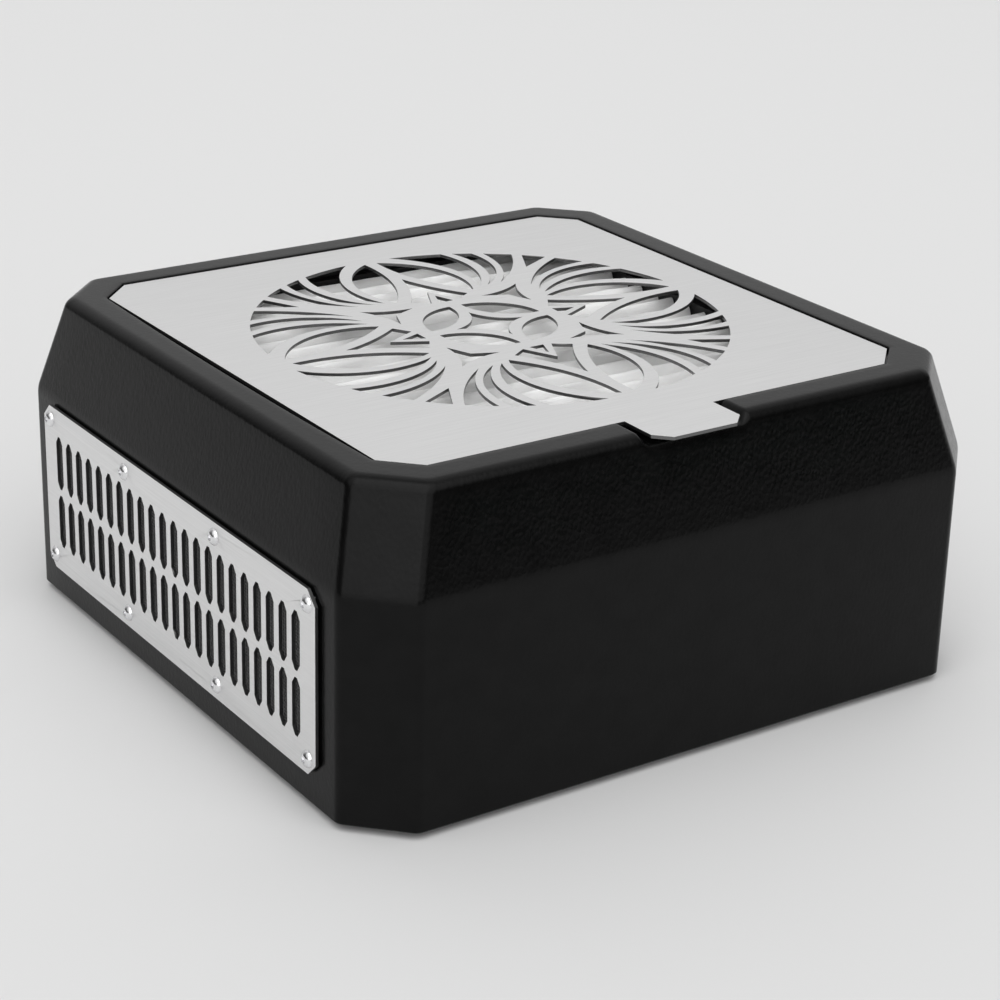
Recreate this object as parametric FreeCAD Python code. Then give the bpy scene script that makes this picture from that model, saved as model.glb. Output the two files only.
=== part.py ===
import FreeCAD, Part
import math
import os

os.makedirs("parts", exist_ok=True)

# A desk-top nail dust collector. Air and dust are drawn down through a flower-cut
# stainless plate and a pleated filter by an axial fan, and leave through the two
# side vents. Millimetres; origin on the table under the middle of the body;
# +X to the user's right, -Y towards the user (the plate's finger tab), +Z up.

# ---- driving dimensions -------------------------------------------------------
BODY_HALF = 158.5          # half the width and depth of the upright walls
BODY_LEG = 23.0            # leg of the body's 45 degree corner facets
BEND_Z = 100.0             # where the upright walls turn into the slopes
RIM_Z = 144.0              # top of the rim
RIM_HALF = 147.0           # half width where slope and rim would meet
RIM_LEG = 22.0
SHELL_BOTTOM = 3.0
WALL = 3.0                 # thermoformed sheet
CORNER_R = 6.0             # rounding of the facets' edges
RIM_R = 6.0                # rounding of the rim's outer edge
BEND_R = 22.0              # rounding of the bend
ARC_STEPS = 5

PLATE_HALF = 130.0
PLATE_LEG = 14.6
PLATE_T = 1.5
PLATE_GAP = 1.0            # around the plate in its recess
LEDGE_Z = 141.8            # the plate rests here
REST_GAP = 0.2             # air between pieces that rest on each other and move apart
LEDGE_T = 3.0
WELL_HALF = 118.0          # opening in the ledge
GRILLE_R = 106.0
TAB_HALF = 22.4
TAB_LENGTH = 24.0
TAB_CUT = 6.6
NOTCH_HALF = 25.5
NOTCH_FLOOR = 136.5
NOTCH_FLARE = 2.0

VENT_Z = 57.5
VENT_HALF_Y = 123.0
VENT_HALF_Z = 40.0
VENT_LEG = 6.0
VENT_T = 1.5
VENT_COLUMNS = 22
VENT_PITCH = 10.28
SLOT_W = 6.4
SLOT_H = 25.5
SLOT_TAPER_W = 2.2         # corner cuts at a slot's ends
SLOT_TAPER_H = 3.2
SLOT_ROW = 14.35           # rows sit this far above and below the plate's middle
VENT_SCREW_Y = (-116.7, -41.1, 41.1, 116.7)
VENT_SCREW_Z = 33.4
MESH_T = 0.8
MESH_HALF_Y = 120.0
MESH_HALF_Z = 37.0
WINDOW_HALF_Y = 113.0
WINDOW_HALF_Z = 29.0

FLOOR_TOP = 107.0          # floor of the filter tray
FLOOR_T = 3.0
TRAY_WALL = 2.5
TRAY_FLANGE_T = 3.0
FRAME_HALF = 116.5         # filter cassette
FRAME_WALL = 4.5           # the fleece fills it from wall to wall
FRAME_TOP = 135.4
MEDIA_BOTTOM = 118.5
MEDIA_TOP = 135.0
MEDIA_T = 1.6
PLEAT_PITCH = 12.0
SEAL_T = 2.0

FAN_HALF = 100.0
FAN_TOP = FLOOR_TOP - FLOOR_T
FAN_DEPTH = 60.0
FAN_BOTTOM = FAN_TOP - FAN_DEPTH
FAN_BORE_R = 95.0
BLADE_R = 93.0
BLADE_COUNT = 7
HUB_R = 44.0
FAN_HOLE = 88.5            # fixing holes sit at +-this in X and Y
FAN_WASHER_T = 2.0
GUARD_WIRE_R = 1.0
GUARD_EYE_T = 2.2
GUARD_R = 92.0             # reach of the guard's wires from the middle
GUARD_PITCH = 20.0
GUARD_WIRES = 4            # on each side of the middle one
SHAFT_R = 4.0
RUN_FIT = 0.04             # radial, shaft in bearings
FLANGE_T = 4.5             # of the fan's frame
STRUT_T = 6.0
TUBE_R = 13.0
BEARING_R = 11.0
BEARING_T = 7.0
BALL_R = 1.55
BALL_CIRCLE_R = 7.6
BALL_COUNT = 7
LOWER_BEARING_Z = FAN_BOTTOM + 2.0
UPPER_BEARING_Z = FAN_BOTTOM + 39.5
STATOR_LOW = FAN_BOTTOM + 16.0
STATOR_HIGH = STATOR_LOW + 20.0
POLE_COUNT = 8
TERMINAL_X = (35.0, 45.0)
TERMINAL_Z = FAN_BOTTOM + 13.0

BASE_TOP = 6.5
BASE_T = 3.0
BASE_HALF = 155.2
FOOT_AT = 106.0
FOOT_R = 11.0
BLOCK_AT = 130.0           # corner blocks
BLOCK_HALF = 12.0
BLOCK_H = 22.0

PANEL_X = 78.0             # rear service panel
PANEL_Z = 45.0
PANEL_Y = BODY_HALF - WALL # its outer face lies on the wall's inner face
PANEL_T = 1.5
PANEL_HALF_X = 51.0
PANEL_HALF_Z = 26.0
PANEL_WINDOW_X = 39.0      # half width and height of the opening it covers
PANEL_WINDOW_Z = 15.0
PANEL_SCREW_X = 46.0
PANEL_SCREW_Z = 21.0
INLET_X = PANEL_X - 17.0
INLET_HALF_X = 13.5
INLET_HALF_Z = 9.8
SWITCH_X = PANEL_X + 24.0
SWITCH_HALF_X = 6.5
SWITCH_HALF_Z = 9.5
CUTOUT_GAP = 0.2           # round the inlet and the switch in the panel
LEAD_D = 2.2
PIVOT_R = 0.7
PIVOT_Y = PANEL_Y - 1.0
ROCKER_TILT = 6.0          # each way from level; it rests at the off side

M4_R = 2.0
M4_HEAD_R = 3.8
M4_HEAD_H = 2.2
M4_NUT = 7.0               # across flats
M4_SOCKET = 2.5
M3_R = 1.5
M3_HEAD_R = 2.85
M3_NUT = 5.5
M3_NUT_H = 2.4


# ---- small helpers --------------------------------------------------------------
def vec(x, y, z=0.0):
    return FreeCAD.Vector(x, y, z)


def save(shape, name):
    shape.exportStep("parts/%s.step" % name)


def group(solids):
    return Part.makeCompound(solids)


def box(low, high):
    size = [high[i] - low[i] for i in range(3)]
    return Part.makeBox(size[0], size[1], size[2], vec(*low))


def cylinder(radius, low, high, x=0.0, y=0.0):
    return Part.makeCylinder(radius, high - low, vec(x, y, low))


def ring(outer, inner, low, high, x=0.0, y=0.0):
    return cylinder(outer, low, high, x, y).cut(cylinder(inner, low - 1, high + 1, x, y))


def polygon_face(points):
    return Part.Face(Part.makePolygon([*points, points[0]]))


def octagon_points(half, leg, z=0.0):
    """Corners of a square with 45 degree corner cuts, counter-clockwise from the front right."""
    near = half - leg
    flat = [(half, -near), (half, near), (near, half), (-near, half)]
    return [vec(x, y, z) for x, y in flat] + [vec(-x, -y, z) for x, y in flat]


def rounded_wire(points, radius):
    """The closed outline through the points with each corner rounded."""
    edges = []
    starts = []
    ends = []
    middles = []
    count = len(points)
    for i, corner in enumerate(points):
        to_last = (points[i - 1] - corner).normalize()
        to_next = (points[(i + 1) % count] - corner).normalize()
        half_turn = (math.pi - to_last.getAngle(to_next)) / 2
        back = radius * math.tan(half_turn)
        inward = (to_last + to_next).normalize()
        starts.append(corner + to_last * back)
        ends.append(corner + to_next * back)
        middles.append(corner + inward * (radius / math.cos(half_turn) - radius))
    for i in range(count):
        edges.append(Part.Arc(starts[i], middles[i], ends[i]).toShape())
        edges.append(Part.LineSegment(ends[i], starts[(i + 1) % count]).toShape())
    return Part.Wire(edges)


def octagon_solid(half, leg, radius, low, high):
    face = Part.Face(rounded_wire(octagon_points(half, leg, low), radius))
    return face.extrude(vec(0, 0, high - low))


def lofted(levels):
    """A solid through rounded octagons given as (half, leg, corner radius, z)."""
    wires = [rounded_wire(octagon_points(half, leg, z), radius) for half, leg, radius, z in levels]
    return Part.makeLoft(wires, True, True)


def mirrored_x(shape):
    return shape.mirror(vec(0, 0, 0), vec(1, 0, 0))


def hexagon(across_flats, low, high, x=0.0, y=0.0):
    radius = across_flats / math.sqrt(3)
    points = [
        vec(x + radius * math.cos(math.pi / 3 * i), y + radius * math.sin(math.pi / 3 * i), low)
        for i in range(6)
    ]
    return polygon_face(points).extrude(vec(0, 0, high - low))


def button_screw(head_r, head_h, shank_r, length, socket):
    """A button-head screw standing on z=0, head up, with a hexagon socket."""
    sphere_r = (head_r ** 2 + head_h ** 2) / (2 * head_h)
    dome = Part.makeSphere(sphere_r, vec(0, 0, head_h - sphere_r))
    head = dome.common(Part.makeCylinder(head_r, head_h))
    screw = head.fuse(Part.makeCylinder(shank_r, length, vec(0, 0, -length)))
    return screw.cut(hexagon(socket, head_h * 0.4, head_h + 1)).removeSplitter()


def flat_screw(head_r, shank_r, length):
    """A countersunk screw, its head flush with z=0 and its shank downwards, with a cross recess."""
    head = Part.makeCone(shank_r, head_r, head_r - shank_r, vec(0, 0, shank_r - head_r))
    screw = head.fuse(Part.makeCylinder(shank_r, length, vec(0, 0, -length)))
    arm = head_r * 0.55
    for low, high in (((-arm, -0.4, -1.0), (arm, 0.4, 1.0)), ((-0.4, -arm, -1.0), (0.4, arm, 1.0))):
        screw = screw.cut(box(low, high))
    return screw.removeSplitter()


def countersink(head_r, shank_r, depth):
    cone = Part.makeCone(shank_r, head_r + 1.0, head_r + 1.0 - shank_r, vec(0, 0, shank_r - head_r))
    return cone.fuse(Part.makeCylinder(shank_r, depth + 2.0, vec(0, 0, -depth)))


def nut(across_flats, height, hole_r):
    return hexagon(across_flats, 0, height).cut(Part.makeCylinder(hole_r, height + 2, vec(0, 0, -1)))


def placed(shape, at, axis=None, degrees=0.0):
    copy = shape.copy()
    if axis:
        copy.rotate(vec(0, 0, 0), axis, degrees)
    copy.translate(at)
    return copy


def outward_left(shape, at):
    """Turns a piece made along +Z to point out of the left wall."""
    return placed(shape, at, vec(0, 1, 0), -90)


def outward_rear(shape, at):
    return placed(shape, at, vec(1, 0, 0), -90)


def downward(shape, at):
    return placed(shape, at, vec(1, 0, 0), 180)


# ---- housing ----------------------------------------------------------------------
def slope_angle():
    return math.atan2(BODY_HALF - RIM_HALF, RIM_Z - BEND_Z)


def outer_levels():
    """The shell's outside: upright wall, soft bend, slope, rounded rim edge."""
    tilt = slope_angle()
    levels = [(BODY_HALF, BODY_LEG, CORNER_R, SHELL_BOTTOM)]
    start_z = BEND_Z - BEND_R * math.tan(tilt / 2)
    for i in range(ARC_STEPS):
        turn = tilt * i / (ARC_STEPS - 1)
        inset = BEND_R * (1 - math.cos(turn))
        leg = BODY_LEG + (RIM_LEG - BODY_LEG) * inset / (BODY_HALF - RIM_HALF)
        levels.append((BODY_HALF - inset, leg, CORNER_R, start_z + BEND_R * math.sin(turn)))
    left = math.pi / 2 - tilt
    back = RIM_R * math.tan(left / 2)
    centre_half = RIM_HALF - back
    for i in range(ARC_STEPS + 2):
        turn = tilt + left * i / (ARC_STEPS + 1)
        half = centre_half + RIM_R * math.cos(turn)
        leg = RIM_LEG - (RIM_HALF - half) * (2 - math.sqrt(2))
        levels.append((half, leg, CORNER_R, RIM_Z - RIM_R + RIM_R * math.sin(turn)))
    return levels


def shell_cavity():
    top = LEDGE_Z - LEDGE_T
    share = (top - BEND_Z) / (RIM_Z - BEND_Z)
    top_half = BODY_HALF + (RIM_HALF - BODY_HALF) * share - WALL
    low_half = BODY_HALF - WALL
    cavity = lofted([
        (low_half, BODY_LEG - 1.5, 3.0, SHELL_BOTTOM - 1),
        (low_half, BODY_LEG - 1.5, 3.0, BEND_Z - 1.0),
        (top_half, RIM_LEG - 1.5, 3.0, top),
    ])
    under_rim = octagon_solid(top_half - 1.5, RIM_LEG - 2, 3.0, top - 1, RIM_Z - WALL)
    recess_wall = octagon_solid(PLATE_HALF + PLATE_GAP + WALL, PLATE_LEG + 1, 3.0, top - 1, RIM_Z)
    return cavity.fuse(under_rim.cut(recess_wall))


def left_screw_points():
    return [
        vec(-BODY_HALF, y, VENT_Z + side * VENT_SCREW_Z) for y in VENT_SCREW_Y for side in (-1, 1)
    ]


def ledge_screw_points():
    out = WELL_HALF + 5.7
    spread = 70.0
    points = []
    for x, y in ((out, spread), (out, -spread), (spread, out), (-spread, out)):
        points += [vec(x, y, LEDGE_Z), vec(-x, -y, LEDGE_Z)]
    return points


def panel_screw_points():
    return [
        vec(PANEL_X + sx * PANEL_SCREW_X, BODY_HALF, PANEL_Z + sz * PANEL_SCREW_Z)
        for sx in (-1, 1)
        for sz in (-1, 1)
    ]


def housing_shell():
    shell = lofted(outer_levels()).cut(shell_cavity())
    pan = box((-NOTCH_HALF - WALL, -146.0, NOTCH_FLOOR - WALL), (NOTCH_HALF + WALL, -128.0, RIM_Z - 2))
    shell = shell.fuse(pan)
    recess = octagon_solid(PLATE_HALF + PLATE_GAP, PLATE_LEG + 0.6, 1.5, LEDGE_Z, RIM_Z + 1)
    well = octagon_solid(WELL_HALF, 8.0, 2.0, LEDGE_Z - LEDGE_T - 1, RIM_Z)
    shell = shell.cut(recess).cut(well)
    notch_points = [
        vec(-NOTCH_HALF, -PLATE_HALF - PLATE_GAP, NOTCH_FLOOR),
        vec(NOTCH_HALF, -PLATE_HALF - PLATE_GAP, NOTCH_FLOOR),
        vec(NOTCH_HALF + NOTCH_FLARE, -BODY_HALF, NOTCH_FLOOR),
        vec(-NOTCH_HALF - NOTCH_FLARE, -BODY_HALF, NOTCH_FLOOR),
    ]
    shell = shell.cut(polygon_face(notch_points).extrude(vec(0, 0, 20)))
    for side in (-1, 1):
        low_x = min(side * (BODY_HALF + 5), side * (BODY_HALF - WALL - 5))
        shell = shell.cut(box(
            (low_x, -WINDOW_HALF_Y, VENT_Z - WINDOW_HALF_Z),
            (low_x + WALL + 10, WINDOW_HALF_Y, VENT_Z + WINDOW_HALF_Z),
        ))
    for point in left_screw_points():
        drill = outward_left(Part.makeCylinder(2.25, 8, vec(0, 0, -6)), point)
        shell = shell.cut(drill).cut(mirrored_x(drill))
    for point in ledge_screw_points():
        shell = shell.cut(placed(countersink(M3_HEAD_R, 1.6, 6), point))
    for point in panel_screw_points():
        shell = shell.cut(outward_rear(countersink(M3_HEAD_R, 1.6, 6), point))
    window = box(
        (PANEL_X - PANEL_WINDOW_X, BODY_HALF - WALL - 5, PANEL_Z - PANEL_WINDOW_Z),
        (PANEL_X + PANEL_WINDOW_X, BODY_HALF + 5, PANEL_Z + PANEL_WINDOW_Z),
    )
    return shell.cut(window)


def corner_block_points():
    return [vec(sx * BLOCK_AT, sy * BLOCK_AT, BASE_TOP) for sx in (-1, 1) for sy in (-1, 1)]


def base_screw_points():
    points = []
    for corner in corner_block_points():
        sx = math.copysign(1, corner.x)
        sy = math.copysign(1, corner.y)
        points.append(vec(corner.x + sx * 9, corner.y - sy * 3, BASE_TOP - BASE_T))
        points.append(vec(corner.x - sx * 3, corner.y + sy * 9, BASE_TOP - BASE_T))
    return points


def corner_blocks():
    """Four blocks bonded in the shell's corners, which take the base screws."""
    blocks = []
    for corner in corner_block_points():
        sx = math.copysign(1, corner.x)
        sy = math.copysign(1, corner.y)
        block = box((-BLOCK_HALF, -BLOCK_HALF, 0), (BLOCK_HALF, BLOCK_HALF, BLOCK_H))
        block.translate(vec(corner.x + sx * 3, corner.y + sy * 3, BASE_TOP))
        block = block.common(octagon_solid(BODY_HALF - WALL, BODY_LEG - 1.5, 3.0, 0, 60))
        blocks.append(block)
    blocks = group(blocks)
    for point in base_screw_points():
        blocks = blocks.cut(cylinder(1.7, BASE_TOP - 1, BASE_TOP + 12, point.x, point.y))
    return blocks


def foot_points():
    return [vec(sx * FOOT_AT, sy * FOOT_AT, 0) for sx in (-1, 1) for sy in (-1, 1)]


def base_plate():
    base = octagon_solid(BASE_HALF, BODY_LEG - 1.5, 3.0, BASE_TOP - BASE_T, BASE_TOP)
    for point in base_screw_points():
        base = base.cut(downward(countersink(3.2, 1.8, 6), point))
    for point in foot_points():
        base = base.cut(cylinder(2.1, 0, 20, point.x, point.y))
    return base


def rubber_feet():
    feet = []
    top = BASE_TOP - BASE_T
    for point in foot_points():
        foot = Part.makeCone(FOOT_R, FOOT_R - 1.0, top, vec(point.x, point.y, 0))
        foot = foot.cut(cylinder(2.1, -1, top + 1, point.x, point.y))
        feet.append(foot.cut(cylinder(4.4, -1, 1.4, point.x, point.y)))
    return group(feet)


def foot_screws():
    screw = button_screw(3.6, 1.0, 2.0, 8.0, 2.0)
    return group([downward(screw, vec(p.x, p.y, 1.4)) for p in foot_points()])


def foot_nuts():
    piece = nut(7.0, 3.0, 2.0)
    return group([placed(piece, vec(p.x, p.y, BASE_TOP)) for p in foot_points()])


def base_screws():
    screw = flat_screw(3.2, 1.7, 14.0)
    return group([downward(screw, p) for p in base_screw_points()])


# ---- side vents ----------------------------------------------------------------------
def slot_centres():
    first = -(VENT_COLUMNS - 1) / 2 * VENT_PITCH
    return [
        (first + i * VENT_PITCH, VENT_Z + side * SLOT_ROW)
        for i in range(VENT_COLUMNS)
        for side in (-1, 1)
    ]


def vent_slot(y, z):
    """A slot with tapered ends, as a cutter through the left vent plate."""
    half_w = SLOT_W / 2
    half_h = SLOT_H / 2
    tip_w = half_w - SLOT_TAPER_W
    side_h = half_h - SLOT_TAPER_H
    half = [(half_w, side_h), (tip_w, half_h), (-tip_w, half_h), (-half_w, side_h)]
    outline = half + [(-a, -b) for a, b in half]
    points = [vec(-BODY_HALF - 5, y + a, z + b) for a, b in outline]
    return polygon_face(points).extrude(vec(8, 0, 0))


def left_vent_plate():
    near_y = VENT_HALF_Y - VENT_LEG
    near_z = VENT_HALF_Z - VENT_LEG
    half = [
        (VENT_HALF_Y, -near_z), (VENT_HALF_Y, near_z), (near_y, VENT_HALF_Z), (-near_y, VENT_HALF_Z),
    ]
    outline = half + [(-a, -b) for a, b in half]
    inner_x = -BODY_HALF - MESH_T
    plate = polygon_face([vec(inner_x, y, VENT_Z + z) for y, z in outline]).extrude(vec(-VENT_T, 0, 0))
    cutters = [vent_slot(y, z) for y, z in slot_centres()]
    cutters += [
        outward_left(Part.makeCylinder(M4_R + 0.2, 10, vec(0, 0, -4)), p) for p in left_screw_points()
    ]
    return plate.cut(cutters)


def left_vent_mesh():
    mesh = box(
        (-BODY_HALF - MESH_T, -MESH_HALF_Y, VENT_Z - MESH_HALF_Z),
        (-BODY_HALF, MESH_HALF_Y, VENT_Z + MESH_HALF_Z),
    )
    drill = Part.makeCylinder(M4_R + 0.5, 10, vec(0, 0, -4))
    cutters = [outward_left(drill, p) for p in left_screw_points()]
    return mesh.cut(cutters)


def left_vent_screws():
    screw = button_screw(M4_HEAD_R, M4_HEAD_H, M4_R, 10.0, M4_SOCKET)
    stand = vec(-MESH_T - VENT_T, 0, 0)
    return group([outward_left(screw, p + stand) for p in left_screw_points()])


def left_vent_nuts():
    height = 3.2
    piece = nut(M4_NUT, height, M4_R)
    return group([outward_left(piece, p + vec(WALL + height, 0, 0)) for p in left_screw_points()])


# ---- top plate --------------------------------------------------------------------------
def at(x, y):
    """A point of the flower pattern, in units of the grille's radius."""
    return vec(x * GRILLE_R, y * GRILLE_R, 0)


def arc(a, b, c):
    return Part.Arc(at(*a), at(*b), at(*c)).toShape()


def line(a, b):
    return Part.LineSegment(at(*a), at(*b)).toShape()


def on_rim(x):
    return (x, math.sqrt(1 - x * x))


def face_of(edges):
    """A flat face through the edges that always looks up."""
    face = Part.Face(Part.Wire(edges))
    return face if face.normalAt(0, 0).z > 0 else face.reversed()


def petal():
    """A long leaf beside an axis, from the rim towards the middle."""
    tip = (0.030, 0.965)
    root = (0.195, 0.425)
    return face_of([arc(tip, (0.224, 0.729), root), arc(root, (0.062, 0.680), tip)])


def flower_leaf():
    """One of the four leaves of the small flower in the middle."""
    top = (0.030, 0.270)
    side = (0.270, 0.030)
    return face_of([arc(top, (0.200, 0.200), side), arc(side, (0.098, 0.098), top)])


def star():
    """The four-pointed opening in the flower's middle."""
    points = [(0.165, 0), (0, 0.165), (-0.165, 0), (0, -0.165)]
    bend = 0.058
    middles = [(bend, bend), (-bend, bend), (-bend, -bend), (bend, -bend)]
    return face_of([arc(points[i], middles[i], points[(i + 1) % 4]) for i in range(4)])


def axis_arrow():
    """The arrowhead between the roots of two petals."""
    apex = (0, 0.700)
    right = (0.143, 0.392)
    heel = (0.070, 0.345)
    notch = (0, 0.490)
    left = (-right[0], right[1])
    left_heel = (-heel[0], heel[1])
    return face_of([
        arc(apex, (0.055, 0.545), right),
        line(right, heel),
        line(heel, notch),
        line(notch, left_heel),
        line(left_heel, left),
        arc(left, (-0.055, 0.545), apex),
    ])


def axis_dart():
    """The small triangle under the arrowhead."""
    points = [(0, 0.430), (-0.034, 0.338), (0.034, 0.338)]
    return face_of([line(points[i], points[(i + 1) % 3]) for i in range(3)])


def diagonal_arrow():
    """The curved arrowhead outside the ring on a diagonal."""
    apex = (0.400, 0.400)
    upper = (0.175, 0.330)
    notch = (0.285, 0.285)
    lower = (0.330, 0.175)
    return face_of([
        arc(apex, (0.285, 0.345), upper),
        line(upper, notch),
        line(notch, lower),
        arc(lower, (0.345, 0.285), apex),
    ])


def rim_slot(root, inner_middle, inner_end, outer_end, outer_middle):
    """A curved slot that opens towards the rim between two ribs."""
    start = on_rim(inner_end)
    end = on_rim(outer_end)
    rim_middle = on_rim((inner_end + outer_end) / 2)
    return face_of([
        arc(root, inner_middle, start),
        arc(start, rim_middle, end),
        arc(end, outer_middle, root),
    ])


def rim_vee():
    """The short V on a diagonal, open to the rim."""
    apex = (0.585, 0.585)
    left = on_rim(0.668)
    right = (left[1], left[0])
    diagonal = math.sqrt(0.5)
    return face_of([line(apex, left), arc(left, (diagonal, diagonal), right), line(right, apex)])


def turned(faces, mirror_too):
    """Repeats faces about the four axes, and mirrored across the Y axis as well."""
    copies = []
    for face in faces:
        family = [face, mirrored_x(face).reversed()] if mirror_too else [face]
        for member in family:
            for quarter in range(4):
                copies.append(placed(member, vec(0, 0, 0), vec(0, 0, 1), 90 * quarter))
    return copies


def flower_openings():
    slots = [
        rim_slot((0.243, 0.447), (0.270, 0.742), 0.112, 0.352, (0.371, 0.715)),
        rim_slot((0.288, 0.450), (0.416, 0.700), 0.400, 0.480, (0.464, 0.672)),
        rim_slot((0.360, 0.455), (0.488, 0.645), 0.526, 0.632, (0.517, 0.600)),
    ]
    faces = turned([petal(), *slots], True)
    faces += turned([flower_leaf(), axis_arrow(), axis_dart(), diagonal_arrow(), rim_vee()], False)
    return [*faces, star()]


def grille_plate():
    """The lift-off plate with its finger tab at the front."""
    near = PLATE_HALF - PLATE_LEG
    tab_end = -PLATE_HALF - TAB_LENGTH
    outline = [
        (TAB_HALF, -PLATE_HALF), (near, -PLATE_HALF), (PLATE_HALF, -near), (PLATE_HALF, near),
        (near, PLATE_HALF), (-near, PLATE_HALF), (-PLATE_HALF, near), (-PLATE_HALF, -near),
        (-near, -PLATE_HALF), (-TAB_HALF, -PLATE_HALF), (-TAB_HALF, tab_end + TAB_CUT),
        (-TAB_HALF + TAB_CUT, tab_end), (TAB_HALF - TAB_CUT, tab_end), (TAB_HALF, tab_end + TAB_CUT),
    ]
    bottom = LEDGE_Z + REST_GAP
    plate = polygon_face([vec(x, y, bottom) for x, y in outline]).extrude(vec(0, 0, PLATE_T))
    cutters = []
    for face in flower_openings():
        face.translate(vec(0, 0, bottom - 1))
        cutters.append(face.extrude(vec(0, 0, PLATE_T + 2)))
    return plate.cut(cutters)


# ---- filter -------------------------------------------------------------------------------
def filter_tray():
    """A square tub under the ledge, with the fan's intake in its floor."""
    inner = WELL_HALF - 0.5
    outer = inner + TRAY_WALL
    top = LEDGE_Z - LEDGE_T
    low = FLOOR_TOP - FLOOR_T
    tub = octagon_solid(outer, 9.0, 3.0, low, top)
    flange = octagon_solid(WELL_HALF + 9.0, 11.0, 3.0, top - TRAY_FLANGE_T, top)
    tray = tub.fuse(flange).cut(octagon_solid(inner, 8.0, 2.0, FLOOR_TOP, top + 1))
    tray = tray.cut(cylinder(FAN_BORE_R, low - 1, FLOOR_TOP + 1))
    for point in ledge_screw_points():
        tray = tray.cut(cylinder(1.7, top - 4, top + 1, point.x, point.y))
    for x, y in fan_hole_points():
        tray = tray.cut(cylinder(2.3, low - 1, FLOOR_TOP + 1, x, y))
    return tray


def tray_screws():
    screw = flat_screw(M3_HEAD_R, M3_R, 11.0)
    return group([placed(screw, p) for p in ledge_screw_points()])


def tray_nuts():
    piece = nut(M3_NUT, M3_NUT_H, M3_R)
    drop = vec(0, 0, -LEDGE_T - TRAY_FLANGE_T - M3_NUT_H)
    return group([placed(piece, p + drop) for p in ledge_screw_points()])


def filter_frame():
    low = FLOOR_TOP + REST_GAP + SEAL_T
    inner = FRAME_HALF - FRAME_WALL
    frame = octagon_solid(FRAME_HALF, 7.5, 2.0, low, FRAME_TOP)
    return frame.cut(octagon_solid(inner, 2.0, 0.5, low - 1, FRAME_TOP + 1))


def filter_seal():
    """Foam strip bonded under the cassette."""
    low = FLOOR_TOP + REST_GAP
    seal = octagon_solid(FRAME_HALF - 1, 7.5, 2.0, low, low + SEAL_T)
    return seal.cut(octagon_solid(FRAME_HALF - FRAME_WALL + 0.5, 2.0, 0.5, low - 1, low + SEAL_T + 1))


def filter_media():
    """Pleated fleece, its folds running left to right."""
    half = FRAME_HALF - FRAME_WALL - 0.4
    folds = int(2 * (half - 1.5) / PLEAT_PITCH) * 2
    step = 2 * (half - 1.5) / folds
    rise = MEDIA_TOP - MEDIA_BOTTOM - MEDIA_T
    lower = []
    for i in range(folds + 1):
        z = MEDIA_BOTTOM + (0.0 if i % 2 else rise)
        lower.append(vec(-half, -half + 1.5 + i * step, z))
    upper = [point + vec(0, 0, MEDIA_T * 2.6) for point in reversed(lower)]
    trim = box((-half, -half, MEDIA_BOTTOM), (half, half, MEDIA_TOP))
    return polygon_face(lower + upper).extrude(vec(2 * half, 0, 0)).common(trim)


# ---- fan ----------------------------------------------------------------------------------
def fan_hole_points():
    return [(sx * FAN_HOLE, sy * FAN_HOLE) for sx in (-1, 1) for sy in (-1, 1)]


def fan_flange(low, high):
    return Part.Face(rounded_wire(octagon_points(FAN_HALF, 6.0, low), 5.0)).extrude(vec(0, 0, high - low))


def fan_frame():
    """Cast frame: two flanges, the bore's wall, four struts and the motor's seat."""
    frame = fan_flange(FAN_BOTTOM, FAN_BOTTOM + FLANGE_T).fuse(fan_flange(FAN_TOP - FLANGE_T, FAN_TOP))
    frame = frame.fuse(cylinder(FAN_BORE_R + 3.5, FAN_BOTTOM, FAN_TOP))
    for x, y in fan_hole_points():
        frame = frame.fuse(cylinder(5.5, FAN_BOTTOM, FAN_TOP, x, y))
    frame = frame.cut(cylinder(FAN_BORE_R, FAN_BOTTOM - 1, FAN_TOP + 1))
    for turn in range(4):
        strut = box((20.0, -4.0, FAN_BOTTOM), (FAN_BORE_R + 1.0, 4.0, FAN_BOTTOM + STRUT_T))
        strut.rotate(vec(0, 0, 0), vec(0, 0, 1), 45 + 90 * turn)
        frame = frame.fuse(strut)
    frame = frame.fuse(cylinder(HUB_R, FAN_BOTTOM, FAN_BOTTOM + STRUT_T))
    frame = frame.cut(cylinder(TUBE_R, FAN_BOTTOM - 1, FAN_BOTTOM + STRUT_T + 1))
    for x, y in fan_hole_points():
        frame = frame.cut(cylinder(2.3, FAN_BOTTOM - 1, FAN_TOP + 1, x, y))
    return frame.removeSplitter()


def bearing_tube():
    """Steel tube that carries both bearings and the stator."""
    low = FAN_BOTTOM
    high = UPPER_BEARING_Z + BEARING_T + 0.5
    tube = cylinder(TUBE_R, low, high).cut(cylinder(BEARING_R, LOWER_BEARING_Z, high + 1))
    return tube.cut(cylinder(6.0, low - 1, high))


def bearing(low):
    """A 608-size ball bearing: two races and seven balls."""
    outer = ring(BEARING_R, 9.2, low, low + BEARING_T)
    inner = ring(6.0, SHAFT_R + RUN_FIT, low, low + BEARING_T)
    balls = []
    for i in range(BALL_COUNT):
        turn = 2 * math.pi * i / BALL_COUNT
        middle = vec(BALL_CIRCLE_R * math.cos(turn), BALL_CIRCLE_R * math.sin(turn), low + BEARING_T / 2)
        balls.append(Part.makeSphere(BALL_R, middle))
    return group([outer, inner, *balls])


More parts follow.
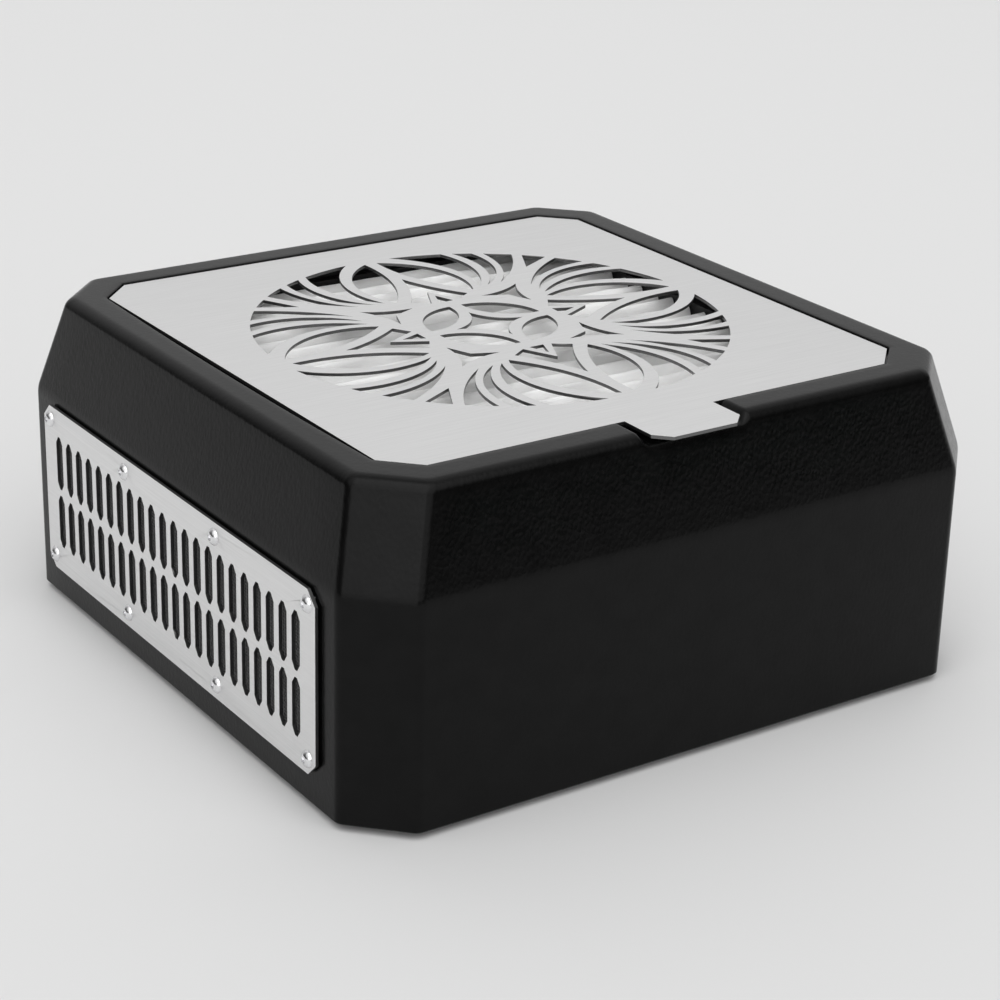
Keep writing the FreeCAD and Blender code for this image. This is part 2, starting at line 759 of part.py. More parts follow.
def stator_core():
    """Laminated ring with eight poles."""
    core = ring(19.0, TUBE_R, STATOR_LOW, STATOR_HIGH)
    for i in range(POLE_COUNT):
        pole = box((18.0, -4.0, STATOR_LOW), (33.0, 4.0, STATOR_HIGH))
        shoe = ring(34.5, 31.0, STATOR_LOW, STATOR_HIGH)
        pole = pole.fuse(shoe.common(box((0, -10.5, STATOR_LOW), (40, 10.5, STATOR_HIGH))))
        pole.rotate(vec(0, 0, 0), vec(0, 0, 1), 360.0 * i / POLE_COUNT)
        core = core.fuse(pole)
    return core.removeSplitter()


def stator_windings():
    """A copper coil round each pole."""
    coils = []
    for i in range(POLE_COUNT):
        coil = box((20.5, -6.2, STATOR_LOW - 3.0), (30.0, 6.2, STATOR_HIGH + 3.0))
        coil = coil.cut(box((19.0, -4.0, STATOR_LOW), (31.0, 4.0, STATOR_HIGH)))
        coil.rotate(vec(0, 0, 0), vec(0, 0, 1), 360.0 * i / POLE_COUNT)
        coils.append(coil)
    return group(coils)


def rotor_ring():
    return ring(41.5, 35.5, FAN_BOTTOM + 14.0, FAN_BOTTOM + 42.0)


def fan_blade():
    """A pitched, slightly cupped blade as a lofted solid from the hub to the tip."""
    half_t = 1.2
    wires = []
    for radius, pitch, chord in ((HUB_R - 1.5, 42.0, 40.0), (68.0, 34.0, 52.0), (BLADE_R, 27.0, 60.0)):
        tilt = math.radians(pitch)
        half = chord / 2
        camber = 0.08 * chord
        middle_z = (FAN_BOTTOM + FAN_TOP) / 2 + 6.0
        def section(along, above):
            across = along * math.cos(tilt) - above * math.sin(tilt)
            z = middle_z + along * math.sin(tilt) + above * math.cos(tilt)
            return vec(radius, across, z)
        top = Part.Arc(section(-half, 0), section(0, camber + half_t), section(half, 0)).toShape()
        low = Part.Arc(section(half, 0), section(0, camber - half_t), section(-half, 0)).toShape()
        wires.append(Part.Wire([top, low]))
    return Part.makeLoft(wires, True, False)


def fan_impeller():
    """Hub cup and blades; the cup turns on the shaft's upper end."""
    low = FAN_BOTTOM + 8.0
    high = FAN_TOP - 3.0
    hub = cylinder(HUB_R, low, high).cut(cylinder(HUB_R - 2.5, low - 1, high - 3.0))
    boss = ring(8.0, SHAFT_R, high - 10.0, high)
    top = hub.fuse(boss).cut(cylinder(SHAFT_R, low, high + 1))
    reach = ring(BLADE_R, HUB_R - 1.2, FAN_BOTTOM, FAN_TOP)
    for i in range(BLADE_COUNT):
        blade = fan_blade().common(reach)
        blade.rotate(vec(0, 0, 0), vec(0, 0, 1), 360.0 * i / BLADE_COUNT)
        top = top.fuse(blade)
    return top


def motor_shaft():
    return cylinder(SHAFT_R, FAN_BOTTOM + 4.0, FAN_TOP - 3.0)


def shaft_clip():
    """Retaining ring under the upper bearing's inner race, seated on the shaft."""
    return ring(5.6, SHAFT_R, UPPER_BEARING_Z - 1.5, UPPER_BEARING_Z - 0.7)


def guard_bar(start, end):
    """A lower wire along X from start to end, with a fixing eye at each end that reaches a corner."""
    corner = FAN_HOLE * math.sqrt(2)
    eye_r = 6.0
    eye_hole_r = 2.3
    inset = eye_r - 1.0
    low = start + (inset if start == -corner else 0.0)
    middle = vec(low, 0, FLOOR_TOP + GUARD_EYE_T / 2)
    bar = Part.makeCylinder(GUARD_WIRE_R, end - inset - low, middle, vec(1, 0, 0))
    for x in (start, end):
        if abs(x) == corner:
            bar = bar.fuse(ring(eye_r, eye_hole_r, FLOOR_TOP, FLOOR_TOP + GUARD_EYE_T, x, 0))
    return bar


def fan_guard():
    """Welded wire guard over the intake: straight wires on a cross with fixing eyes."""
    level = FLOOR_TOP + GUARD_EYE_T / 2 + 2 * GUARD_WIRE_R
    corner = FAN_HOLE * math.sqrt(2)
    wires = []
    for i in range(-GUARD_WIRES, GUARD_WIRES + 1):
        y = i * GUARD_PITCH
        half = math.sqrt(GUARD_R ** 2 - y ** 2)
        wires.append(Part.makeCylinder(GUARD_WIRE_R, 2 * half, vec(-half, y, level), vec(1, 0, 0)))
    for start, degrees in ((-corner, 45), (GUARD_WIRE_R, 135), (GUARD_WIRE_R, 315)):
        wires.append(placed(guard_bar(start, corner), vec(0, 0, 0), vec(0, 0, 1), degrees))
    return group(wires)


def fan_screws():
    screw = button_screw(M4_HEAD_R, M4_HEAD_H, M4_R, FLOOR_T + FAN_DEPTH + 9.5, M4_SOCKET)
    return group([placed(screw, vec(x, y, FLOOR_TOP + GUARD_EYE_T)) for x, y in fan_hole_points()])


def fan_washers():
    """Rubber washers that keep the fan's hum out of the tray."""
    low = FAN_BOTTOM - FAN_WASHER_T
    return group([ring(5.5, M4_R + 0.1, low, FAN_BOTTOM, x, y) for x, y in fan_hole_points()])


def fan_nuts():
    height = 4.8
    piece = nut(M4_NUT, height, M4_R)
    low = FAN_BOTTOM - FAN_WASHER_T - height
    return group([placed(piece, vec(x, y, low)) for x, y in fan_hole_points()])


def fan_terminal():
    """Two-way terminal block on the fan's rear flange."""
    low = FAN_BOTTOM + FLANGE_T
    block = box((30.0, FAN_HALF, low + 1.5), (50.0, FAN_HALF + 10.0, low + 15.5))
    for x in TERMINAL_X:
        hole = Part.makeCylinder(2.0, 8, vec(x, FAN_HALF + 4.0, TERMINAL_Z), vec(0, 1, 0))
        block = block.cut(hole)
    return block.fuse(box((28.0, FAN_HALF - 3.0, low), (52.0, FAN_HALF + 10.0, low + 1.5)))


# ---- rear service panel ---------------------------------------------------------------------
def service_panel():
    panel = box(
        (PANEL_X - PANEL_HALF_X, PANEL_Y - PANEL_T, PANEL_Z - PANEL_HALF_Z),
        (PANEL_X + PANEL_HALF_X, PANEL_Y, PANEL_Z + PANEL_HALF_Z),
    )
    for x, half_x, half_z in (
        (INLET_X, INLET_HALF_X, INLET_HALF_Z),
        (SWITCH_X, SWITCH_HALF_X, SWITCH_HALF_Z),
    ):
        panel = panel.cut(box(
            (x - half_x - CUTOUT_GAP, PANEL_Y - 10, PANEL_Z - half_z - CUTOUT_GAP),
            (x + half_x + CUTOUT_GAP, PANEL_Y + 10, PANEL_Z + half_z + CUTOUT_GAP),
        ))
    for point in panel_screw_points():
        drill = Part.makeCylinder(M3_R + 0.2, 12, vec(point.x, PANEL_Y - 6, point.z), vec(0, 1, 0))
        panel = panel.cut(drill)
    return panel


def panel_screws():
    screw = flat_screw(M3_HEAD_R, M3_R, 10.0)
    return group([outward_rear(screw, p) for p in panel_screw_points()])


def panel_nuts():
    piece = nut(M3_NUT, M3_NUT_H, M3_R)
    reach = vec(0, -WALL - PANEL_T - M3_NUT_H, 0)
    return group([outward_rear(piece, p + reach) for p in panel_screw_points()])


def inlet_profile(half_w, half_h, cut, y):
    """The appliance inlet's section: a rectangle with its two lower corners cut."""
    flat = [
        (-half_w, half_h), (half_w, half_h), (half_w, -half_h + cut),
        (half_w - cut, -half_h), (-half_w + cut, -half_h), (-half_w, -half_h + cut),
    ]
    return polygon_face([vec(INLET_X + x, y, PANEL_Z + z) for x, z in flat])


def power_inlet():
    """Three-pin appliance inlet, snapped into the panel."""
    flange = box((INLET_X - 15.5, PANEL_Y, PANEL_Z - 12), (INLET_X + 15.5, PANEL_Y + 2.0, PANEL_Z + 12))
    body = inlet_profile(INLET_HALF_X, INLET_HALF_Z, 4.5, PANEL_Y - 19.0).extrude(vec(0, 19.5, 0))
    socket = inlet_profile(12.0, 8.2, 4.0, PANEL_Y - 15.0).extrude(vec(0, 25, 0))
    return flange.fuse(body).cut(socket).cut(inlet_pins())


def inlet_pins():
    """Three blades, with their solder tabs behind the inlet."""
    pins = []
    for x, z in ((-7.0, -2.0), (7.0, -2.0), (0.0, 2.0)):
        low = vec(INLET_X + x - 1.0, PANEL_Y - 25.0, PANEL_Z + z - 2.0)
        pins.append(Part.makeBox(2.0, 24.0, 4.0, low))
    return group(pins)


def switch_box(half_x, half_z, deep, proud):
    """A box round the switch's axis, from behind the panel's face to in front of it."""
    return box(
        (SWITCH_X - half_x, PANEL_Y - deep, PANEL_Z - half_z),
        (SWITCH_X + half_x, PANEL_Y + proud, PANEL_Z + half_z),
    )


def switch_body():
    """Rocker switch case with its bezel, snapped into the panel."""
    body = switch_box(7.6, 10.6, 0, 1.4).fuse(switch_box(SWITCH_HALF_X, SWITCH_HALF_Z, 14.0, 0.5))
    body = body.cut(switch_box(5.7, 8.6, 4.0, 2.0))
    pivot = Part.makeCylinder(PIVOT_R + 0.05, 20, vec(SWITCH_X - 10, PIVOT_Y, PANEL_Z), vec(1, 0, 0))
    return body.cut(pivot).cut(switch_tabs())


def switch_rocker():
    """The paddle with its two pivot stubs, tilted to its off side."""
    outline = [(-8.0, 1.6), (0, 0.9), (8.0, 1.6), (7.7, -1.8), (0, -2.8), (-7.7, -1.8)]
    points = [vec(SWITCH_X - 5.3, PANEL_Y + y, PANEL_Z + z) for z, y in outline]
    paddle = polygon_face(points).extrude(vec(10.6, 0, 0))
    stubs = Part.makeCylinder(PIVOT_R, 12.6, vec(SWITCH_X - 6.3, PIVOT_Y, PANEL_Z), vec(1, 0, 0))
    rocker = paddle.fuse(stubs)
    rocker.rotate(vec(SWITCH_X, PIVOT_Y, PANEL_Z), vec(1, 0, 0), -ROCKER_TILT)
    return rocker


def switch_tabs():
    tabs = []
    for z in (-5.0, 5.0):
        low = vec(SWITCH_X - 2.4, PANEL_Y - 22.0, PANEL_Z + z - 0.4)
        tabs.append(Part.makeBox(4.8, 10.0, 0.8, low))
    return group(tabs)


def lead(points):
    """A wire along straight runs joined by tangent arcs."""
    edges = []
    here = points[0]
    for i in range(1, len(points) - 1):
        corner = points[i]
        back = points[i - 1] - corner
        ahead = points[i + 1] - corner
        reach = 0.45 * min(back.Length, ahead.Length)
        back.normalize()
        ahead.normalize()
        half_turn = (math.pi - back.getAngle(ahead)) / 2
        radius = reach / math.tan(half_turn)
        start = corner + back * reach
        end = corner + ahead * reach
        middle = corner + (back + ahead).normalize() * (radius / math.cos(half_turn) - radius)
        edges.append(Part.LineSegment(here, start).toShape())
        edges.append(Part.Arc(start, middle, end).toShape())
        here = end
    edges.append(Part.LineSegment(here, points[-1]).toShape())
    path = Part.Wire(edges)
    first = (points[1] - points[0]).normalize()
    circle = Part.Wire([Part.Circle(points[0], first, LEAD_D / 2).toShape()])
    return path.makePipeShell([circle], True, False)


def neutral_lead():
    x = TERMINAL_X[0]
    y = PANEL_Y - 25.0
    return lead([
        vec(INLET_X - 7, y, PANEL_Z - 2), vec(INLET_X - 7, y - 8, PANEL_Z - 2),
        vec(INLET_X - 18, y - 14, PANEL_Z + 8), vec(x, FAN_HALF + 18, TERMINAL_Z + 7),
        vec(x, FAN_HALF + 14, TERMINAL_Z), vec(x, FAN_HALF + 5, TERMINAL_Z),
    ])


def live_lead():
    y = PANEL_Y - 25.0
    return lead([
        vec(INLET_X + 7, y, PANEL_Z - 2), vec(INLET_X + 7, y - 9, PANEL_Z - 2),
        vec(INLET_X + 20, y - 14, PANEL_Z + 1), vec(SWITCH_X, y - 9, PANEL_Z + 5),
        vec(SWITCH_X, y + 3, PANEL_Z + 5),
    ])


def switched_lead():
    x = TERMINAL_X[1]
    y = PANEL_Y - 22.0
    return lead([
        vec(SWITCH_X, y, PANEL_Z - 5), vec(SWITCH_X, y - 10, PANEL_Z - 5),
        vec(SWITCH_X - 14, y - 16, PANEL_Z - 15), vec(x + 21, FAN_HALF + 18, FAN_BOTTOM - 8),
        vec(x + 7, FAN_HALF + 17, FAN_BOTTOM), vec(x, FAN_HALF + 15, TERMINAL_Z),
        vec(x, FAN_HALF + 5, TERMINAL_Z),
    ])


def earth_lead():
    y = PANEL_Y - 25.0
    return lead([
        vec(INLET_X, y, PANEL_Z + 2), vec(INLET_X, y - 8, PANEL_Z + 2),
        vec(INLET_X + 4, y - 14, PANEL_Z + 16), vec(INLET_X + 10, FAN_HALF + 10, FAN_TOP - 12),
        vec(INLET_X + 10, FAN_HALF + 4, FAN_TOP - 2.2), vec(INLET_X + 10, FAN_HALF, FAN_TOP - 2.2),
    ])


# ---- everything ------------------------------------------------------------------------------
PIECES = {
    "housing_shell": housing_shell,
    "corner_blocks": corner_blocks,
    "base_plate": base_plate,
    "base_screws": base_screws,
    "rubber_feet": rubber_feet,
    "foot_screws": foot_screws,
    "foot_nuts": foot_nuts,
    "grille_plate": grille_plate,
    "filter_tray": filter_tray,
    "tray_screws": tray_screws,
    "tray_nuts": tray_nuts,
    "filter_frame": filter_frame,
    "filter_seal": filter_seal,
    "filter_media": filter_media,
    "fan_guard": fan_guard,
    "fan_frame": fan_frame,
    "fan_screws": fan_screws,
    "fan_washers": fan_washers,
    "fan_nuts": fan_nuts,
    "fan_terminal": fan_terminal,
    "fan_impeller": fan_impeller,
    "motor_shaft": motor_shaft,
    "shaft_clip": shaft_clip,
    "rotor_ring": rotor_ring,
    "bearing_tube": bearing_tube,
    "stator_core": stator_core,
    "stator_windings": stator_windings,
    "service_panel": service_panel,
    "panel_screws": panel_screws,
    "panel_nuts": panel_nuts,
    "power_inlet": power_inlet,
    "inlet_pins": inlet_pins,
    "switch_body": switch_body,
    "switch_rocker": switch_rocker,
    "switch_tabs": switch_tabs,
    "neutral_lead": neutral_lead,
    "live_lead": live_lead,
    "switched_lead": switched_lead,
    "earth_lead": earth_lead,
}

for name, make in PIECES.items():
    save(make(), name)

save(bearing(LOWER_BEARING_Z), "lower_bearing")
save(bearing(UPPER_BEARING_Z), "upper_bearing")

VENT_PIECES = {
    "vent_plate": left_vent_plate,
    "vent_mesh": left_vent_mesh,
    "vent_screws": left_vent_screws,
    "vent_nuts": left_vent_nuts,
}
for name, make in VENT_PIECES.items():
    left = make()
    save(left, "left_" + name)
    save(mirrored_x(left), "right_" + name)
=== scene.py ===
import math

import bmesh
import bpy
import numpy as np
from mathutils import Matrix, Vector, noise


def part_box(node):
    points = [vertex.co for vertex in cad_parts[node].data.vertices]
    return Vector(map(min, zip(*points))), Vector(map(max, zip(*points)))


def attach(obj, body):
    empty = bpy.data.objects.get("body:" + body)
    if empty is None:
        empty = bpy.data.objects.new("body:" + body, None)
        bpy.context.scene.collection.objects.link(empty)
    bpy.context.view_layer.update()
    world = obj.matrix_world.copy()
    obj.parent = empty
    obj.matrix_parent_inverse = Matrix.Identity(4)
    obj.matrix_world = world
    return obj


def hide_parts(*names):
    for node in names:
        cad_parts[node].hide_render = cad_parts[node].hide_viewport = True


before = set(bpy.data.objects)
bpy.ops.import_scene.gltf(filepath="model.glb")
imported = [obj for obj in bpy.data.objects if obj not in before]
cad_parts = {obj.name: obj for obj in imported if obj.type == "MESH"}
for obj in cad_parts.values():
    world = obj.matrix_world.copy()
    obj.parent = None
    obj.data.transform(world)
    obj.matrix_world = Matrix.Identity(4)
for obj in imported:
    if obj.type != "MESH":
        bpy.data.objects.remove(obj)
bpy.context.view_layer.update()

# A desk-top nail dust collector: grained black housing, flower-cut brushed plate, pleated
# fleece filter, side vents. Metres; the CAD part's frame: +Z up, -Y towards the user.

# ---- sizes read from the frame ---------------------------------------------------------
SHELL_LOW, SHELL_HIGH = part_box("housing_shell")
PLATE_LOW, PLATE_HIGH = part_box("grille_plate")
VENT_LOW, VENT_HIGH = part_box("left_vent_plate")
BODY_HALF = SHELL_HIGH.x
RIM_Z = SHELL_HIGH.z
PLATE_HALF = PLATE_HIGH.x
MM = 0.001
WELD_GAP = 0.002 * MM          # vertices closer than this are one

# ---- shell, as in the CAD part -----------------------------------------------------------
BODY_LEG = 23.0 * MM           # leg of the corner facets at the foot
BEND_Z = 100.0 * MM
BEND_R = 22.0 * MM
RIM_HALF = 147.0 * MM
RIM_LEG = 22.0 * MM
RIM_R = 6.0 * MM
CORNER_R = 6.0 * MM
WALL = 3.0 * MM
RECESS_HALF = PLATE_HALF + 1.0 * MM
RECESS_LEG = 15.2 * MM
RECESS_R = 2.0 * MM
RECESS_BOW = 2.1 * MM          # outwards, halfway along the left side
AT_RECESS = 0.5 * MM           # points this near a recess wall count as on it
LEDGE_Z = 141.8 * MM
LEDGE_T = 3.0 * MM
WELL_HALF = 118.0 * MM
WELL_LEG = 8.0 * MM
WELL_R = 2.0 * MM
EDGE_R = 0.8 * MM              # small roundings of the sheet's edges
LEG_SHRINK = 2 - math.sqrt(2)  # a leg's change per inset, with facets of one width
NOTCH_FLOOR = 139.6 * MM       # just under the plate's tab
NOTCH_INNER = 22.6 * MM        # the dip is level inside this half width
NOTCH_OUTER = 28.0 * MM        # and gone outside this one
NOTCH_SOFTNESS = 1.1 * MM
CORNER_STEPS = 8
SIDE_STEPS = 11
FACET_STEPS = 3
WALL_HEIGHTS = (0.7 * MM, 2.0 * MM, 30.0 * MM, 60.0 * MM, 85.0 * MM)
BEND_STEPS = 8
SLOPE_STEPS = 14
RIM_STEPS = 12
EDGE_STEPS = 4
INNER_R = 3.0 * MM             # corners on the sheet's inside
INNER_LEG = BODY_LEG - 1.5 * MM
VENT_Z = (VENT_LOW.z + VENT_HIGH.z) / 2
PANEL_LOW, PANEL_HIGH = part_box("service_panel")
WINDOW_HALF_Y = 113.0 * MM
WINDOW_HALF_Z = 29.0 * MM
PANEL_WINDOW_X = 39.0 * MM     # half width and height of the opening behind the panel
PANEL_WINDOW_Z = 15.0 * MM
SCREW_HOLE_R = 3.05 * MM       # round a countersunk M3 head of 2.85
DRILL_SIDES = 24


def mesh_piece(name, vertices, faces, material, body):
    """A new smooth mesh piece that rides on a body."""
    mesh = bpy.data.meshes.new(name)
    mesh.from_pydata([tuple(v) for v in vertices], [], faces)
    mesh.update()
    mesh.shade_smooth()
    mesh.materials.append(material)
    piece = bpy.data.objects.new(name, mesh)
    bpy.context.scene.collection.objects.link(piece)
    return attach(piece, body)


def smoothstep(low, high, value):
    t = min(max((value - low) / (high - low), 0.0), 1.0)
    return t * t * (3 - 2 * t)


# ---- materials -----------------------------------------------------------------------------
class Finish:
    """A material around one Principled shader, with short calls for its patterns."""

    def __init__(self, name, color, roughness, metallic=0.0, **constants):
        self.material = bpy.data.materials.new(name)
        self.material.use_nodes = True
        self.tree = self.material.node_tree
        self.shader = self.tree.nodes["Principled BSDF"]
        self.shader.inputs["Base Color"].default_value = (*color, 1)
        self.shader.inputs["Roughness"].default_value = roughness
        self.shader.inputs["Metallic"].default_value = metallic
        for socket, value in constants.items():
            self.shader.inputs[socket.replace("_", " ")].default_value = value
        self.where = self.node("ShaderNodeTexCoord").outputs["Object"]
        self.heights = []

    def node(self, kind, **settings):
        made = self.tree.nodes.new(kind)
        for key, value in settings.items():
            setattr(made, key, value)
        return made

    def link(self, source, target):
        self.tree.links.new(source, target)

    def stretched(self, factors):
        """Object coordinates scaled along each axis."""
        scaled = self.node("ShaderNodeVectorMath", operation="MULTIPLY")
        self.link(self.where, scaled.inputs[0])
        scaled.inputs[1].default_value = factors
        return scaled.outputs[0]

    def noise(self, scale, detail=3.0, stretch=(1, 1, 1), rough=0.55):
        made = self.node("ShaderNodeTexNoise")
        self.link(self.stretched([scale * s for s in stretch]), made.inputs["Vector"])
        made.inputs["Scale"].default_value = 1.0
        made.inputs["Detail"].default_value = detail
        made.inputs["Roughness"].default_value = rough
        return made.outputs["Fac"]

    def cells(self, scale, stretch=(1, 1, 1), warp_scale=0.6, warp_depth=0.9, smoothness=0.35):
        """Distance to the middle of the nearest cell, in warped space: creased like leather."""
        made = self.node("ShaderNodeTexVoronoi", feature="SMOOTH_F1")
        warp = self.node("ShaderNodeTexNoise")
        self.link(self.stretched([scale * warp_scale] * 3), warp.inputs["Vector"])
        warp.inputs["Scale"].default_value = 1.0
        bent = self.node("ShaderNodeVectorMath", operation="MULTIPLY_ADD")
        self.link(warp.outputs["Color"], bent.inputs[0])
        bent.inputs[1].default_value = [warp_depth] * 3
        self.link(self.stretched([scale * s for s in stretch]), bent.inputs[2])
        self.link(bent.outputs[0], made.inputs["Vector"])
        made.inputs["Scale"].default_value = 1.0
        made.inputs["Smoothness"].default_value = smoothness
        return made.outputs["Distance"]

    def bands(self, frequency, axis):
        """Soft parallel bands across an axis, from 0 to 1."""
        split = self.node("ShaderNodeSeparateXYZ")
        self.link(self.where, split.inputs[0])
        return self.wave(split.outputs[axis], frequency)

    def wave(self, source, frequency):
        """A sine of the source, from 0 to 1, with that many turns per unit."""
        turned = self.node("ShaderNodeMath", operation="MULTIPLY")
        self.link(source, turned.inputs[0])
        turned.inputs[1].default_value = 2 * math.pi * frequency
        sine = self.node("ShaderNodeMath", operation="SINE")
        self.link(turned.outputs[0], sine.inputs[0])
        half = self.node("ShaderNodeMath", operation="MULTIPLY_ADD")
        self.link(sine.outputs[0], half.inputs[0])
        half.inputs[1].default_value = 0.5
        half.inputs[2].default_value = 0.5
        return half.outputs[0]

    def spread(self, source, low, high, to_low=0.0, to_high=1.0):
        """The source's range from low to high, stretched and clamped to another range."""
        made = self.node("ShaderNodeMapRange")
        self.link(source, made.inputs["Value"])
        made.inputs["From Min"].default_value = low
        made.inputs["From Max"].default_value = high
        made.inputs["To Min"].default_value = to_low
        made.inputs["To Max"].default_value = to_high
        return made.outputs["Result"]

    def blend_base(self, factor):
        """Puts a colour mix before the base colour and returns its two colour sockets."""
        mix = self.node("ShaderNodeMix", data_type="RGBA")
        self.link(factor, mix.inputs["Factor"])
        mixed = [s for s in mix.outputs if s.type == "RGBA"][0]
        self.link(mixed, self.shader.inputs["Base Color"])
        return [s for s in mix.inputs if s.type == "RGBA"]

    def colors(self, source, low, high, dark, light):
        """Base colour between two colours as source goes from low to high."""
        first, second = self.blend_base(self.spread(source, low, high))
        first.default_value = (*dark, 1)
        second.default_value = (*light, 1)

    def roughness(self, source, low, high):
        self.link(self.spread(source, 0.3, 0.7, low, high), self.shader.inputs["Roughness"])

    def bump(self, source, depth, strength=1.0):
        """Adds relief of that depth in metres; calls stack."""
        made = self.node("ShaderNodeBump")
        self.link(source, made.inputs["Height"])
        made.inputs["Distance"].default_value = depth
        made.inputs["Strength"].default_value = strength
        if self.heights:
            self.link(self.heights[-1], made.inputs["Normal"])
        self.heights.append(made.outputs["Normal"])
        self.link(made.outputs["Normal"], self.shader.inputs["Normal"])

    def shaded_cut_edges(self, axis, edge_shade_color):
        """Faces that don't look along the sheet's axis are cut edges, which are duller and darker:
        partly their own cut finish, partly painted shade where they lie in shadow.
        """
        shape = self.node("ShaderNodeNewGeometry")
        split = self.node("ShaderNodeSeparateXYZ")
        self.link(shape.outputs["True Normal"], split.inputs[0])
        size = self.node("ShaderNodeMath", operation="ABSOLUTE")
        self.link(split.outputs[axis], size.inputs[0])
        face = self.shader.inputs["Base Color"].links[0].from_socket
        # faces whose normal leaves the sheet's axis get the dark edge colour: painted shade on top
        # of the cut metal's duller finish
        first, second = self.blend_base(self.spread(size.outputs[0], 0.45, 0.75))
        first.default_value = (*edge_shade_color, 1)
        self.link(face, second)


def grey(value):
    return (value, value, value)


def leather_grain():
    """Black thermoformed sheet with a fine leather grain."""
    finish = Finish("leather_grain_abs", grey(0.0022), 0.22, IOR=1.235)
    finish.colors(finish.noise(90, 4), 0.35, 0.65, grey(0.0016), grey(0.0028))
    finish.roughness(finish.noise(260, 3), 0.19, 0.25)
    finish.bump(finish.cells(620, (1.0, 1.0, 0.62)), 0.00010, 0.42)
    finish.bump(finish.noise(2600, 2), 0.00003, 0.2)
    return finish.material


def moulded_plastic(name, color, roughness=0.5):
    """Spark-eroded mould texture."""
    finish = Finish(name, color, roughness, Specular_IOR_Level=0.4)
    darker = [c * 0.75 for c in color]
    lighter = [min(1.0, c * 1.25) for c in color]
    finish.colors(finish.noise(120, 4), 0.35, 0.65, darker, lighter)
    finish.roughness(finish.noise(500, 3), roughness - 0.06, roughness + 0.08)
    finish.bump(finish.noise(2400, 3), 0.00004, 0.5)
    return finish.material


def gloss_plastic():
    """Polished mould: inlet, switch and terminal block."""
    finish = Finish("gloss_nylon", grey(0.010), 0.22)
    finish.colors(finish.noise(150, 2), 0.35, 0.65, grey(0.008), grey(0.013))
    finish.roughness(finish.noise(320, 3), 0.18, 0.28)
    finish.bump(finish.noise(900, 2), 0.00002, 0.3)
    return finish.material


def brushed(name, along, axis, face=0.72, edge=0.16):
    """Stainless sheet brushed along one axis; its normal axis tells faces from cut edges, whose
    darker colour is partly dull cut metal and partly painted shade.
    """
    stretch = [1.0 if i == along else 60.0 for i in range(3)]
    finish = Finish(name, grey(face), 0.36, metallic=1.0)
    streaks = finish.noise(26, 5, stretch, 0.62)
    finish.colors(streaks, 0.25, 0.75, grey(face * 0.93), grey(min(1.0, face * 1.05)))
    finish.roughness(finish.noise(34, 4, stretch), 0.31, 0.42)
    finish.bump(finish.noise(40, 4, stretch), 0.00002, 0.25)
    # the cut edges get the darker grey edge: partly dull cut metal, partly painted shade where the
    # slot walls lie in shadow
    finish.shaded_cut_edges(axis, grey(edge))
    return finish.material


def plated(name, color, roughness):
    """Zinc or chrome plating with slight clouding and handling marks."""
    finish = Finish(name, color, roughness, metallic=1.0)
    lighter = [min(1.0, c * 1.08) for c in color]
    finish.colors(finish.noise(420, 3), 0.3, 0.7, [c * 0.86 for c in color], lighter)
    finish.roughness(finish.noise(700, 3), roughness * 0.8, roughness * 1.3)
    finish.bump(finish.noise(1500, 2), 0.00001, 0.3)
    return finish.material


def rubber():
    finish = Finish("black_rubber", grey(0.012), 0.75, Specular_IOR_Level=0.3)
    finish.colors(finish.noise(300, 4), 0.3, 0.7, grey(0.009), grey(0.018))
    finish.roughness(finish.noise(800, 3), 0.68, 0.85)
    finish.bump(finish.noise(1800, 3), 0.00006, 0.6)
    return finish.material


def foam():
    """Closed-cell sealing strip, with painted shade in the cells' pits."""
    finish = Finish("seal_foam", grey(0.02), 0.9, Specular_IOR_Level=0.2)
    # the cells' pits, low in the bump below, get the darker grey: painted shade
    finish.colors(finish.cells(1300), 0.1, 0.7, grey(0.008), grey(0.035))
    finish.bump(finish.cells(1300), 0.0003, 0.9)
    return finish.material


def fleece():
    """White non-woven filter fleece: fibres that mostly run along the folds."""
    finish = Finish(
        "filter_fleece", grey(0.97), 0.85, Specular_IOR_Level=0.15, Sheen_Weight=0.3,
        Sheen_Roughness=0.5, Subsurface_Weight=0.2, Subsurface_Scale=0.004,
    )
    finish.shader.inputs["Subsurface Radius"].default_value = (1.0, 1.0, 1.0)
    fibres = finish.noise(240, 5, (0.28, 1.6, 1.6), 0.68)
    finish.colors(fibres, 0.3, 0.7, (0.95, 0.95, 0.947), (0.995, 0.995, 0.99))
    finish.bump(fibres, 0.0006, 0.5)
    finish.bump(finish.noise(1700, 3, (0.4, 1, 1)), 0.00018, 0.6)
    return finish.material


def cast_alloy():
    """Dark die-cast alloy, for the fan's frame."""
    finish = Finish("cast_alloy", grey(0.10), 0.5, metallic=0.85)
    finish.colors(finish.noise(160, 4), 0.3, 0.7, grey(0.07), grey(0.14))
    finish.roughness(finish.noise(600, 3), 0.42, 0.62)
    finish.bump(finish.noise(1100, 4), 0.00009, 0.6)
    return finish.material


def laminations():
    """Stacked half-millimetre steel sheets, seen as fine lines round the stack."""
    finish = Finish("laminations", grey(0.25), 0.42, metallic=0.9)
    layers = finish.bands(2000, "Z")
    finish.colors(layers, 0.1, 0.6, grey(0.12), grey(0.34))
    finish.bump(layers, 0.00012, 0.8)
    return finish.material


